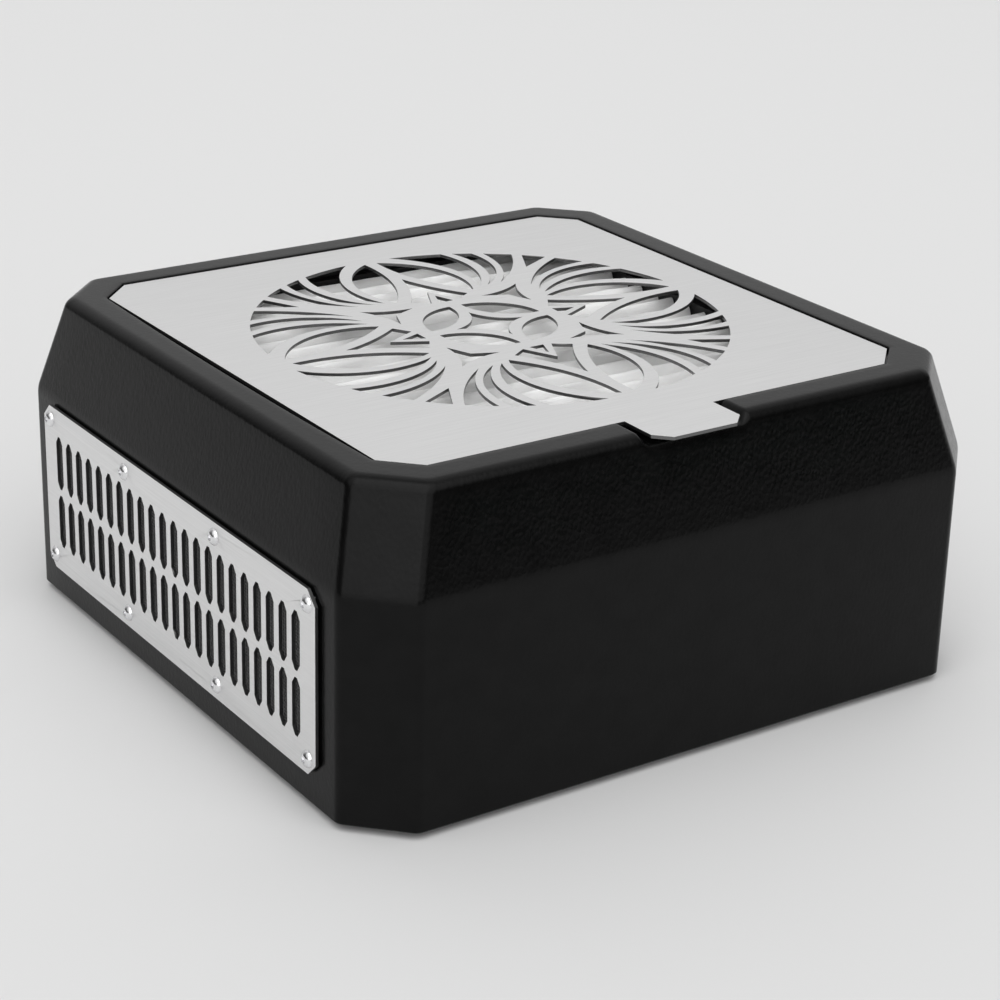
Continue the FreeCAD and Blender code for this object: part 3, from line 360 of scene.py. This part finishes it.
def windings():
    """Enamelled wire in layers round each pole, with painted shade in the grooves between the
    turns.
    """
    finish = Finish("enamelled_copper", (0.60, 0.24, 0.09), 0.3, metallic=0.9, Coat_Weight=0.5)
    level = finish.stretched((1, 1, 0))
    distance = finish.node("ShaderNodeVectorMath", operation="LENGTH")
    finish.link(level, distance.inputs[0])
    wire_pitch = 0.55 * MM
    turns = finish.wave(distance.outputs["Value"], 1 / wire_pitch)
    # the low part of each turn, the groove between wires, gets the dark colour: painted shade
    finish.colors(turns, 0.0, 0.7, (0.20, 0.06, 0.02), (0.72, 0.31, 0.12))
    finish.bump(turns, 0.00025, 0.9)
    return finish.material


def mesh_wire():
    """Dark oxidised wire of the vents' mesh."""
    finish = Finish("dark_mesh_wire", grey(0.10), 0.42, metallic=0.35, Specular_IOR_Level=0.4)
    finish.colors(finish.noise(900, 3), 0.3, 0.7, grey(0.07), grey(0.14))
    finish.roughness(finish.noise(1500, 2), 0.36, 0.52)
    return finish.material


def insulation(name, color):
    """Extruded PVC on a lead."""
    finish = Finish(name, color, 0.36)
    finish.colors(finish.noise(240, 3), 0.3, 0.7, [c * 0.85 for c in color], color)
    finish.roughness(finish.noise(600, 2), 0.32, 0.44)
    finish.bump(finish.noise(900, 2), 0.00003, 0.4)
    return finish.material


def earth_insulation():
    """Green, and yellow on the side that looks along +X."""
    finish = Finish("earth_insulation", (0.05, 0.30, 0.06), 0.36)
    shape = finish.node("ShaderNodeNewGeometry")
    split = finish.node("ShaderNodeSeparateXYZ")
    finish.link(shape.outputs["True Normal"], split.inputs[0])
    finish.colors(split.outputs["X"], 0.15, 0.25, (0.05, 0.28, 0.05), (0.75, 0.62, 0.04))
    finish.bump(finish.noise(900, 2), 0.00003, 0.4)
    return finish.material


LEATHER = leather_grain()
BLACK_PLASTIC = moulded_plastic("black_moulding", grey(0.012))
FAN_PLASTIC = moulded_plastic("fan_nylon", grey(0.022), 0.42)
BLOCK_PLASTIC = moulded_plastic("block_abs", grey(0.05), 0.55)
GLOSS = gloss_plastic()
# each brushed steel darkens its cut edges: partly dull cut metal, partly painted shade
TOP_STEEL = brushed("brushed_steel_top", 0, "Z", 0.79)
VENT_STEEL = brushed("brushed_steel_vent", 1, "X", 0.80)
PANEL_STEEL = brushed("brushed_steel_panel", 0, "Y", 0.55, 0.25)
ZINC = plated("zinc_plate", (0.56, 0.57, 0.59), 0.34)
BRIGHT = plated("bright_plate", (0.82, 0.82, 0.83), 0.16)
BEARING = plated("bearing_steel", (0.66, 0.66, 0.68), 0.12)
BRASS = plated("brass_contact", (0.72, 0.50, 0.20), 0.25)
RUBBER = rubber()
FOAM = foam()
FLEECE = fleece()
ALLOY = cast_alloy()
LAMINATION = laminations()
COPPER = windings()
MESH_WIRE = mesh_wire()
BLUE = insulation("blue_insulation", (0.03, 0.12, 0.50))
BROWN = insulation("brown_insulation", (0.16, 0.06, 0.025))
EARTH = earth_insulation()

# ---- CAD nodes that keep their shape: material and the width of their broken edges --------
FINE = 0.15 * MM
SOFT = 0.4 * MM
NODE_FINISH = {
    "corner_blocks": (BLOCK_PLASTIC, SOFT),
    "base_plate": (BLACK_PLASTIC, SOFT),
    "base_screws": (ZINC, FINE),
    "rubber_feet": (RUBBER, SOFT),
    "foot_screws": (ZINC, FINE),
    "foot_nuts": (ZINC, FINE),
    "grille_plate": (TOP_STEEL, 0.12 * MM),
    "filter_tray": (BLACK_PLASTIC, SOFT),
    "tray_screws": (ZINC, FINE),
    "tray_nuts": (ZINC, FINE),
    "filter_frame": (BLACK_PLASTIC, SOFT),
    "fan_guard": (ZINC, 0),
    "fan_frame": (ALLOY, SOFT),
    "fan_screws": (BRIGHT, FINE),
    "fan_washers": (RUBBER, FINE),
    "fan_nuts": (ZINC, FINE),
    "fan_terminal": (GLOSS, SOFT),
    "fan_impeller": (FAN_PLASTIC, FINE),
    "motor_shaft": (BEARING, FINE),
    "shaft_clip": (ZINC, FINE),
    "rotor_ring": (LAMINATION, FINE),
    "bearing_tube": (ZINC, FINE),
    "stator_core": (LAMINATION, FINE),
    "stator_windings": (COPPER, SOFT),
    "service_panel": (PANEL_STEEL, FINE),
    "panel_screws": (ZINC, FINE),
    "panel_nuts": (ZINC, FINE),
    "power_inlet": (GLOSS, SOFT),
    "inlet_pins": (BRASS, FINE),
    "switch_body": (GLOSS, SOFT),
    "switch_rocker": (GLOSS, SOFT),
    "switch_tabs": (BRASS, FINE),
    "neutral_lead": (BLUE, 0),
    "live_lead": (BROWN, 0),
    "switched_lead": (BROWN, 0),
    "earth_lead": (EARTH, 0),
    "lower_bearing": (BEARING, FINE),
    "upper_bearing": (BEARING, FINE),
}
for side in ("left", "right"):
    NODE_FINISH[side + "_vent_plate"] = (VENT_STEEL, FINE)
    NODE_FINISH[side + "_vent_screws"] = (BRIGHT, FINE)
    NODE_FINISH[side + "_vent_nuts"] = (ZINC, FINE)


def finish_node(name, material, edge):
    """Gives a CAD node its material, and breaks its sharp edges with modifiers."""
    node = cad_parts[name]
    for place in range(max(1, len(node.material_slots))):
        if not node.material_slots:
            node.data.materials.append(material)
        node.material_slots[place].material = material
    if edge:
        weld = node.modifiers.new("weld", "WELD")
        weld.merge_threshold = WELD_GAP
        bevel = node.modifiers.new("broken_edges", "BEVEL")
        bevel.width = edge
        bevel.segments = 2
        bevel.limit_method = "ANGLE"
        bevel.angle_limit = math.radians(35)
        bevel.use_clamp_overlap = True
        bevel.harden_normals = True


for node_name, (node_material, node_edge) in NODE_FINISH.items():
    finish_node(node_name, node_material, node_edge)


# ---- rings: closed outlines with the housing's eight corners --------------------------------
# stations along the front side, in millimetres: close together where the dip eases out
NOTCH_STATIONS = [0.0, 9.0, 16.0, 20.0, 22.0]
NOTCH_STATIONS += [23.0 + 0.6 * i for i in range(15)]
NOTCH_STATIONS += [33.0, 36.0, 42.0, 54.0, 75.0]
FRONT_X = sorted({s * x * MM for x in NOTCH_STATIONS for s in (-1, 1)})


def ring_points(half, leg, radius, z):
    """A rounded octagon at height z, counter-clockwise from the front's left corner."""
    near = half - leg
    corners = [
        (-near, -half), (near, -half), (half, -near), (half, near),
        (near, half), (-near, half), (-half, near), (-half, -near),
    ]
    starts = []
    ends = []
    arcs = []
    eighth = math.pi / 4
    back = radius * math.tan(eighth / 2)
    for i, (x, y) in enumerate(corners):
        before = -math.pi / 2 + eighth * (i - 1)
        into = (-math.sin(before), math.cos(before))
        start = (x - into[0] * back, y - into[1] * back)
        centre = (start[0] - radius * math.cos(before), start[1] - radius * math.sin(before))
        turns = [before + eighth * k / CORNER_STEPS for k in range(CORNER_STEPS + 1)]
        arc = [(centre[0] + radius * math.cos(t), centre[1] + radius * math.sin(t)) for t in turns]
        arcs.append(arc)
        starts.append(start)
        ends.append(arc[-1])
    ring = []
    for i in range(8):
        ring += arcs[i]
        a = ends[i]
        b = starts[(i + 1) % 8]
        if i == 0:
            ring += [(x, -half) for x in FRONT_X]
        else:
            steps = SIDE_STEPS if i % 2 == 0 else FACET_STEPS
            shares = [k / (steps + 1) for k in range(1, steps + 1)]
            ring += [(a[0] + (b[0] - a[0]) * s, a[1] + (b[1] - a[1]) * s) for s in shares]
    return [Vector((x, y, z)) for x, y in ring]


def closed_grid(rings):
    """Vertices and faces of rings joined to a closed tube, first ring to last."""
    count = len(rings[0])
    vertices = [p for ring in rings for p in ring]
    faces = []
    for i in range(len(rings)):
        here = i * count
        above = (i + 1) % len(rings) * count
        for j in range(count):
            k = (j + 1) % count
            faces.append((here + j, here + k, above + k, above + j))
    return vertices, faces


# ---- housing shell ---------------------------------------------------------------------------
def outside_levels():
    """(half, leg, corner radius, z) up the wall, over the bend and round the rim's edge."""
    tilt = math.atan2(BODY_HALF - RIM_HALF, RIM_Z - BEND_Z)
    low = SHELL_LOW.z
    levels = [(BODY_HALF - EDGE_R * 0.7, BODY_LEG, CORNER_R, low)]
    levels += [(BODY_HALF, BODY_LEG, CORNER_R, low + height) for height in WALL_HEIGHTS]
    start_z = BEND_Z - BEND_R * math.tan(tilt / 2)
    for i in range(BEND_STEPS + 1):
        turn = tilt * i / BEND_STEPS
        inset = BEND_R * (1 - math.cos(turn))
        leg = BODY_LEG + (RIM_LEG - BODY_LEG) * inset / (BODY_HALF - RIM_HALF)
        levels.append((BODY_HALF - inset, leg, CORNER_R, start_z + BEND_R * math.sin(turn)))
    left = math.pi / 2 - tilt
    centre_half = RIM_HALF - RIM_R * math.tan(left / 2)
    low_half, low_leg, _, low_z = levels[-1]
    top_half = centre_half + RIM_R * math.cos(tilt)
    top_z = RIM_Z - RIM_R + RIM_R * math.sin(tilt)
    top_leg = RIM_LEG - (RIM_HALF - top_half) * LEG_SHRINK
    for i in range(1, SLOPE_STEPS):
        share = i / SLOPE_STEPS
        levels.append((
            low_half + (top_half - low_half) * share, low_leg + (top_leg - low_leg) * share,
            CORNER_R, low_z + (top_z - low_z) * share,
        ))
    for i in range(RIM_STEPS + 1):
        turn = tilt + left * i / RIM_STEPS
        half = centre_half + RIM_R * math.cos(turn)
        leg = RIM_LEG - (RIM_HALF - half) * LEG_SHRINK
        levels.append((half, leg, CORNER_R, RIM_Z - RIM_R + RIM_R * math.sin(turn)))
    return levels


def recess_levels():
    """Across the rim, down into the plate's recess and over the ledge's edge."""
    outer = outside_levels()[-1]
    leg_r = EDGE_R * 0.6
    edge = (RECESS_HALF + EDGE_R, RECESS_LEG + leg_r, RECESS_R)
    levels = []
    for share in (0.25, 0.5, 0.75):
        mixed = [outer[i] + (edge[i] - outer[i]) * share for i in range(3)]
        levels.append((*mixed, RIM_Z))
    for i in range(EDGE_STEPS + 1):
        turn = math.pi / 2 * i / EDGE_STEPS
        half = edge[0] - EDGE_R * math.sin(turn)
        leg = RECESS_LEG + leg_r * math.cos(turn)
        levels.append((half, leg, RECESS_R, RIM_Z - EDGE_R * (1 - math.cos(turn))))
    return levels


def bow(point):
    """The formed recess stands off the plate a little in the middle of the left side."""
    if point.x > -RECESS_HALF + AT_RECESS:
        return point
    share = 1 - min(abs(point.y) / (RECESS_HALF - RECESS_LEG), 1.0) ** 2
    return Vector((point.x - RECESS_BOW * share, point.y, point.z))


def dip_share(point):
    """1 under the plate's tab, easing to 0 beside it and behind the front rim."""
    if point.y > -RECESS_HALF + AT_RECESS:
        return 0.0
    return 1 - smoothstep(NOTCH_INNER, NOTCH_OUTER, abs(point.x))


def dip(point):
    """The front rim's soft dip under the plate's tab."""
    above = (point.z - NOTCH_FLOOR) / NOTCH_SOFTNESS
    drop = NOTCH_SOFTNESS * (math.log1p(math.exp(-abs(above))) + max(above, 0.0))
    return Vector((point.x, point.y, point.z - dip_share(point) * drop))


def under_dip(point, target_y, target_z):
    """The sheet's inside, drawn down and back to a pan below the dip."""
    share = dip_share(point)
    y = point.y + (target_y - point.y) * share
    return Vector((point.x, y, point.z + (target_z - point.z) * share))


def shell_rings():
    """Up the outside, over the rim into the recess and the well, and down the inside."""
    rings = [[dip(p) for p in ring_points(*level)] for level in outside_levels()]
    rings += [[bow(dip(p)) for p in ring_points(*level)] for level in recess_levels()]
    edge = 0.5 * MM
    foot_r = 1.5 * MM
    low = LEDGE_Z - LEDGE_T
    ledge = [
        (RECESS_HALF, RECESS_LEG, foot_r, LEDGE_Z + 0.01 * MM),
        (RECESS_HALF - edge, RECESS_LEG, foot_r, LEDGE_Z),
        (WELL_HALF + edge, WELL_LEG, WELL_R, LEDGE_Z),
        (WELL_HALF, WELL_LEG, WELL_R, LEDGE_Z - edge),
        (WELL_HALF, WELL_LEG, WELL_R, low + edge),
        (WELL_HALF + edge, WELL_LEG, WELL_R, low),
    ]
    rings += [[bow(p) for p in ring_points(*level)] for level in ledge]
    slope = (BODY_HALF - RIM_HALF) / (RIM_Z - BEND_Z)
    inner_top = BODY_HALF - slope * (low - BEND_Z) - WALL
    pan_z = NOTCH_FLOOR - WALL
    pan_half = RECESS_HALF - WALL
    pan_edge = inner_top + slope * 5 * MM
    recess_out = RECESS_HALF + WALL
    recess_leg = RECESS_LEG + 1 * MM
    under = [
        ((recess_out, recess_leg, INNER_R, low), pan_half, low),
        ((recess_out, recess_leg, INNER_R, RIM_Z - WALL), pan_half, pan_z),
        ((inner_top - 1.5 * MM, RIM_LEG - 2 * MM, INNER_R, RIM_Z - WALL), inner_top, pan_z),
        ((inner_top, RIM_LEG - 1.5 * MM, INNER_R, low), pan_edge, pan_z - 1 * MM),
    ]
    for level, half, z in under:
        rings.append([under_dip(p, -half, z) for p in ring_points(*level)])
    inside = BODY_HALF - WALL
    rings.append(ring_points(inside, INNER_LEG, INNER_R, BEND_Z - 1 * MM))
    rings.append(ring_points(inside, INNER_LEG, INNER_R, SHELL_LOW.z))
    return rings


def add_box(cutter, low, high):
    """A box between two corners."""
    xs, ys, zs = zip(low, high)
    corners = [(x, y, z) for x in xs for y in ys for z in zs]
    v = [cutter.verts.new(c) for c in corners]
    sides = ((0, 1, 3, 2), (4, 6, 7, 5), (0, 4, 5, 1), (2, 3, 7, 6), (0, 2, 6, 4), (1, 5, 7, 3))
    for quad in sides:
        cutter.faces.new([v[i] for i in quad])


def add_drill(cutter, start, along, length, radius):
    """A cylinder from start, along X, Y or Z."""
    axis = Vector(along)
    across = Vector((axis.y, axis.z, axis.x))
    other = axis.cross(across)
    turns = [2 * math.pi * k / DRILL_SIDES for k in range(DRILL_SIDES)]
    circle = [(across * math.cos(t) + other * math.sin(t)) * radius for t in turns]
    rows = []
    for step in (0.0, length):
        rows.append([cutter.verts.new(start + axis * step + out) for out in circle])
    for k in range(DRILL_SIDES):
        n = (k + 1) % DRILL_SIDES
        cutter.faces.new((rows[0][k], rows[0][n], rows[1][n], rows[1][k]))
    cutter.faces.new(list(reversed(rows[0])))
    cutter.faces.new(rows[1])


def screw_middles(node):
    """The middle of the box round each screw of a CAD node, in the same order every run."""
    shape = bmesh.new()
    shape.from_mesh(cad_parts[node].data)
    bmesh.ops.remove_doubles(shape, verts=shape.verts, dist=WELD_GAP)
    left = set(shape.verts)
    middles = []
    while left:
        stack = [left.pop()]
        part = list(stack)
        while stack:
            for edge in stack.pop().link_edges:
                for v in edge.verts:
                    if v in left:
                        left.remove(v)
                        stack.append(v)
                        part.append(v)
        low = Vector([min(v.co[i] for v in part) for i in range(3)])
        high = Vector([max(v.co[i] for v in part) for i in range(3)])
        middles.append((low + high) / 2)
    shape.free()
    return sorted(middles, key=tuple)


def shell_cutter():
    """Windows behind the vents and the service panel, and the countersunk screws' seats."""
    cutter = bmesh.new()
    deep = WALL + 5 * MM
    for side in (-1, 1):
        xs = sorted((side * (BODY_HALF - deep), side * (BODY_HALF + deep)))
        add_box(
            cutter, (xs[0], -WINDOW_HALF_Y, VENT_Z - WINDOW_HALF_Z),
            (xs[1], WINDOW_HALF_Y, VENT_Z + WINDOW_HALF_Z),
        )
    panel_x = (PANEL_LOW.x + PANEL_HIGH.x) / 2
    panel_z = (PANEL_LOW.z + PANEL_HIGH.z) / 2
    add_box(
        cutter, (panel_x - PANEL_WINDOW_X, BODY_HALF - deep, panel_z - PANEL_WINDOW_Z),
        (panel_x + PANEL_WINDOW_X, BODY_HALF + deep, panel_z + PANEL_WINDOW_Z),
    )
    for middle in screw_middles("panel_screws"):
        start = Vector((middle.x, BODY_HALF - deep, middle.z))
        add_drill(cutter, start, (0, 1, 0), 2 * deep, SCREW_HOLE_R)
    for middle in screw_middles("tray_screws"):
        start = Vector((middle.x, middle.y, LEDGE_Z - 2 * LEDGE_T))
        add_drill(cutter, start, (0, 0, 1), 4 * LEDGE_T, SCREW_HOLE_R)
    bmesh.ops.recalc_face_normals(cutter, faces=cutter.faces)
    mesh = bpy.data.meshes.new("cutter")
    cutter.to_mesh(mesh)
    cutter.free()
    piece = bpy.data.objects.new("cutter", mesh)
    bpy.context.scene.collection.objects.link(piece)
    return piece


def apply_modifiers(piece):
    """Bakes a piece's modifiers into its mesh."""
    graph = bpy.context.evaluated_depsgraph_get()
    made = bpy.data.meshes.new_from_object(piece.evaluated_get(graph))
    piece.modifiers.clear()
    piece.data = made


def housing_skin():
    """The shell with its windows and screw seats cut."""
    vertices, faces = closed_grid(shell_rings())
    shell = mesh_piece("housing_skin", vertices, faces, LEATHER, "housing")
    cutter = shell_cutter()
    cut = shell.modifiers.new("cut", "BOOLEAN")
    cut.operation = "DIFFERENCE"
    cut.solver = "EXACT"
    cut.object = cutter
    bpy.context.view_layer.update()
    apply_modifiers(shell)
    bpy.data.objects.remove(cutter)
    shell.data.shade_smooth()
    shell.data.set_sharp_from_angle(angle=math.radians(38))
    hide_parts("housing_shell")


# ---- woven mesh behind the vents ----------------------------------------------------------------
WEAVE_PITCH = 1.4 * MM
WIRE_R = 0.22 * MM
WIRE_SWING = 0.17 * MM
WIRE_SIDES = 4


def woven_mesh(name, node):
    """Plain weave of crimped wires over the whole sheet."""
    low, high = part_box(node)
    middle_x = (low.x + high.x) / 2
    columns = int((high.y - low.y) / WEAVE_PITCH)
    rows = int((high.z - low.z) / WEAVE_PITCH)
    ys = np.linspace(low.y + WIRE_R, high.y - WIRE_R, columns + 1)
    zs = np.linspace(low.z + WIRE_R, high.z - WIRE_R, rows + 1)
    vertices = []
    faces = []

    def wire(path, across):
        first = len(vertices)
        for point in path:
            for k in range(WIRE_SIDES):
                turn = 2 * math.pi * k / WIRE_SIDES
                out = Vector((1, 0, 0)) * math.cos(turn) + across * math.sin(turn)
                vertices.append(point + out * WIRE_R)
        for i in range(len(path) - 1):
            a = first + i * WIRE_SIDES
            b = a + WIRE_SIDES
            for k in range(WIRE_SIDES):
                n = (k + 1) % WIRE_SIDES
                faces.append((a + k, a + n, b + n, b + k))
        faces.append([first + k for k in reversed(range(WIRE_SIDES))])
        faces.append([first + (len(path) - 1) * WIRE_SIDES + k for k in range(WIRE_SIDES)])

    for i, y in enumerate(ys):
        swing = [WIRE_SWING * (1 if (i + j) % 2 else -1) for j in range(len(zs))]
        wire([Vector((middle_x + s, y, z)) for s, z in zip(swing, zs)], Vector((0, 1, 0)))
    for j, z in enumerate(zs):
        swing = [WIRE_SWING * (-1 if (i + j) % 2 else 1) for i in range(len(ys))]
        wire([Vector((middle_x + s, y, z)) for s, y in zip(swing, ys)], Vector((0, 0, -1)))
    piece = mesh_piece(name, vertices, faces, MESH_WIRE, "housing")
    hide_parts(node)


# ---- filter ------------------------------------------------------------------------------------
PLEAT_PITCH = 12.0 * MM
FLEECE_T = 1.6 * MM
FLEECE_COLUMNS = 104
STEPS_PER_PLEAT = 12
FLEECE_EDGE = 0.6 * MM         # clear of the cassette's walls
FLEECE_PLAY = 0.3 * MM         # and of the CAD solid's top and bottom
DRIFT = 1.9 * MM               # how far a fold wanders
DRIFT_TURN = 4.0               # and how much its phase turns with it
LUMP = 0.4 * MM
FOLD_POWER = 0.72              # below 1 the crests are fuller than a cosine's
SEAL_WIDTH = 3.0 * MM
SEAL_BULGE = 0.3 * MM
SEAL_SIDES = 12
SEAL_POWER = 0.45              # squareness of the strip's section


def pleated_fleece():
    """The folded fleece: rounded folds that wander and swell a little."""
    low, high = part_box("filter_media")
    low = low + Vector((FLEECE_EDGE, FLEECE_EDGE, FLEECE_PLAY))
    high = high - Vector((FLEECE_EDGE, FLEECE_EDGE, FLEECE_PLAY))
    pleats = int(round((high.y - low.y) / PLEAT_PITCH))
    rows = pleats * STEPS_PER_PLEAT
    middle = (low.z + high.z - FLEECE_T) / 2
    swing = (high.z - low.z - FLEECE_T) / 2
    unders = []
    for j in range(rows + 1):
        phase = 2 * math.pi * j / STEPS_PER_PLEAT
        base_y = low.y + (high.y - low.y) * j / rows
        fade = min(1.0, j / STEPS_PER_PLEAT, (rows - j) / STEPS_PER_PLEAT)
        for i in range(FLEECE_COLUMNS + 1):
            x = low.x + (high.x - low.x) * i / FLEECE_COLUMNS
            drift = noise.noise(Vector((x * 14, base_y * 60, 0.3))) * DRIFT * fade
            lump = noise.noise(Vector((x * 55, base_y * 120, 4.1))) * LUMP
            height = 0.90 + 0.08 * noise.noise(Vector((x * 30, base_y * 25, 8.0)))
            crest = math.cos(phase + drift / PLEAT_PITCH * DRIFT_TURN)
            shaped = math.copysign(abs(crest) ** FOLD_POWER, crest)
            z = middle + swing * shaped * height + lump
            z = min(max(z, low.z), high.z - FLEECE_T)
            unders.append(Vector((x, base_y + drift, z)))
    count = FLEECE_COLUMNS + 1
    vertices = unders + [p + Vector((0, 0, FLEECE_T)) for p in unders]
    upper = len(unders)
    faces = []
    for j in range(rows):
        for i in range(FLEECE_COLUMNS):
            a = j * count + i
            quad = (a, a + 1, a + count + 1, a + count)
            faces.append(tuple(upper + k for k in quad))
            faces.append(tuple(reversed(quad)))
    border = [(j * count, (j + 1) * count) for j in range(rows)]
    border += [((j + 1) * count - 1 + count, (j + 1) * count - 1) for j in range(rows)]
    border += [(i + 1, i) for i in range(FLEECE_COLUMNS)]
    border += [(rows * count + i, rows * count + i + 1) for i in range(FLEECE_COLUMNS)]
    faces += [(b, a, upper + a, upper + b) for a, b in border]
    fleece_piece = mesh_piece("filter_fleece", vertices, faces, FLEECE, "filter_cassette")
    fleece_piece.data.set_sharp_from_angle(angle=math.radians(80))
    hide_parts("filter_media")


def foam_seal():
    """The strip under the cassette, its sides bulged a little by the load."""
    low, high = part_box("filter_seal")
    outer = high.x
    tall = high.z - low.z
    outer_leg = 7.5 * MM
    corner_r = 1.5 * MM
    rings = []
    for k in range(SEAL_SIDES):
        turn = 2 * math.pi * k / SEAL_SIDES
        across = math.copysign(abs(math.cos(turn)) ** SEAL_POWER, math.cos(turn))
        up = math.copysign(abs(math.sin(turn)) ** SEAL_POWER, math.sin(turn))
        half = outer - SEAL_WIDTH / 2 - SEAL_BULGE + across * (SEAL_WIDTH / 2)
        leg = outer_leg - (outer - half) * 0.6
        rings.append(ring_points(half, leg, corner_r, (low.z + high.z) / 2 + up * tall / 2))
    vertices, faces = closed_grid(rings)
    seal = mesh_piece("foam_seal", vertices, faces, FOAM, "filter_cassette")
    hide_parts("filter_seal")


# ---- stage ---------------------------------------------------------------------------------------
# the room's soft lights: direction, its dot product where the light starts and where it is
# full, and strength
ROOM_LEVEL = 0.05
LIGHTS = (
    ((0.45, 0.80, 0.42), 0.30, 0.90, 0.56),
    ((0.05, 0.10, 1.0), 0.10, 0.95, 0.34),
    ((-0.15, -0.62, 0.77), 0.66, 0.82, 1.15),
    ((-0.62, -0.18, 0.76), 0.72, 0.90, 0.75),
    ((-0.82, -0.56, 0.12), 0.90, 0.99, 1.25),
)


def floor():
    """A wide pale floor at the object's foot."""
    reach = 30.0
    corners = [(-reach, -reach, 0), (reach, -reach, 0), (reach, reach, 0), (-reach, reach, 0)]
    mesh = bpy.data.meshes.new("floor")
    mesh.from_pydata(corners, [], [(0, 1, 2, 3)])
    finish = Finish("pale_floor", grey(0.70), 0.7, Specular_IOR_Level=0.2)
    mesh.materials.append(finish.material)
    piece = bpy.data.objects.new("floor", mesh)
    bpy.context.scene.collection.objects.link(piece)


def studio_world():
    """A dim room: a bright wall behind, a ceiling, two high windows and a low light on the left."""
    world = bpy.data.worlds.new("studio")
    bpy.context.scene.world = world
    world.use_nodes = True
    tree = world.node_tree
    where = tree.nodes.new("ShaderNodeTexCoord").outputs["Generated"]
    total = None
    for direction, start, end, level in LIGHTS:
        dot = tree.nodes.new("ShaderNodeVectorMath")
        dot.operation = "DOT_PRODUCT"
        tree.links.new(where, dot.inputs[0])
        dot.inputs[1].default_value = Vector(direction).normalized()
        lobe = tree.nodes.new("ShaderNodeMapRange")
        lobe.interpolation_type = "SMOOTHSTEP"
        tree.links.new(dot.outputs["Value"], lobe.inputs["Value"])
        lobe.inputs["From Min"].default_value = start
        lobe.inputs["From Max"].default_value = end
        lobe.inputs["To Max"].default_value = level
        add = tree.nodes.new("ShaderNodeMath")
        add.operation = "ADD"
        tree.links.new(lobe.outputs["Result"], add.inputs[0])
        if total is None:
            add.inputs[1].default_value = ROOM_LEVEL
        else:
            tree.links.new(total, add.inputs[1])
        total = add.outputs[0]
    background = tree.nodes["Background"]
    background.inputs["Color"].default_value = (1.0, 1.0, 1.0, 1)
    tree.links.new(total, background.inputs["Strength"])


def softbox(name, place, target, size, power):
    """A rectangular area light that faces its target."""
    light = bpy.data.lights.new(name, "AREA")
    light.shape = "RECTANGLE"
    light.size = size[0]
    light.size_y = size[1]
    light.energy = power
    lamp = bpy.data.objects.new(name, light)
    lamp.location = place
    lamp.rotation_euler = (Vector(target) - Vector(place)).to_track_quat("-Z", "Y").to_euler()
    bpy.context.scene.collection.objects.link(lamp)


def studio_camera():
    """A long lens from the front left, a little above the object, with a slight roll."""
    azimuth = math.radians(-33.61)
    elevation = math.radians(21.71)
    roll = math.radians(1.16)
    target = Vector((0.0101, 0.0330, 0.060))
    distance = 1.178
    back = Vector((
        math.sin(azimuth) * math.cos(elevation),
        -math.cos(azimuth) * math.cos(elevation),
        math.sin(elevation),
    ))
    level_right = Vector((0, 0, 1)).cross(back).normalized()
    level_up = back.cross(level_right)
    right = level_right * math.cos(roll) + level_up * math.sin(roll)
    up = level_up * math.cos(roll) - level_right * math.sin(roll)
    data = bpy.data.cameras.new("camera")
    data.lens = 90.74
    data.sensor_width = 36.0
    data.shift_x = 0.035
    data.shift_y = -0.030
    data.clip_start = 0.05
    data.clip_end = 60.0
    camera = bpy.data.objects.new("camera", data)
    matrix = camera.matrix_world.copy()
    for i, column in enumerate((right, up, back, target + back * distance)):
        for j in range(3):
            matrix[j][i] = column[j]
    camera.matrix_world = matrix
    bpy.context.scene.collection.objects.link(camera)
    bpy.context.scene.camera = camera


housing_skin()
woven_mesh("left_weave", "left_vent_mesh")
woven_mesh("right_weave", "right_vent_mesh")
pleated_fleece()
foam_seal()
floor()
studio_world()
softbox("overhead", (0.1, -0.1, 1.5), (0, 0, 0.1), (1.6, 1.6), 1.5)
studio_camera()
bpy.context.scene.view_settings.view_transform = "Standard"
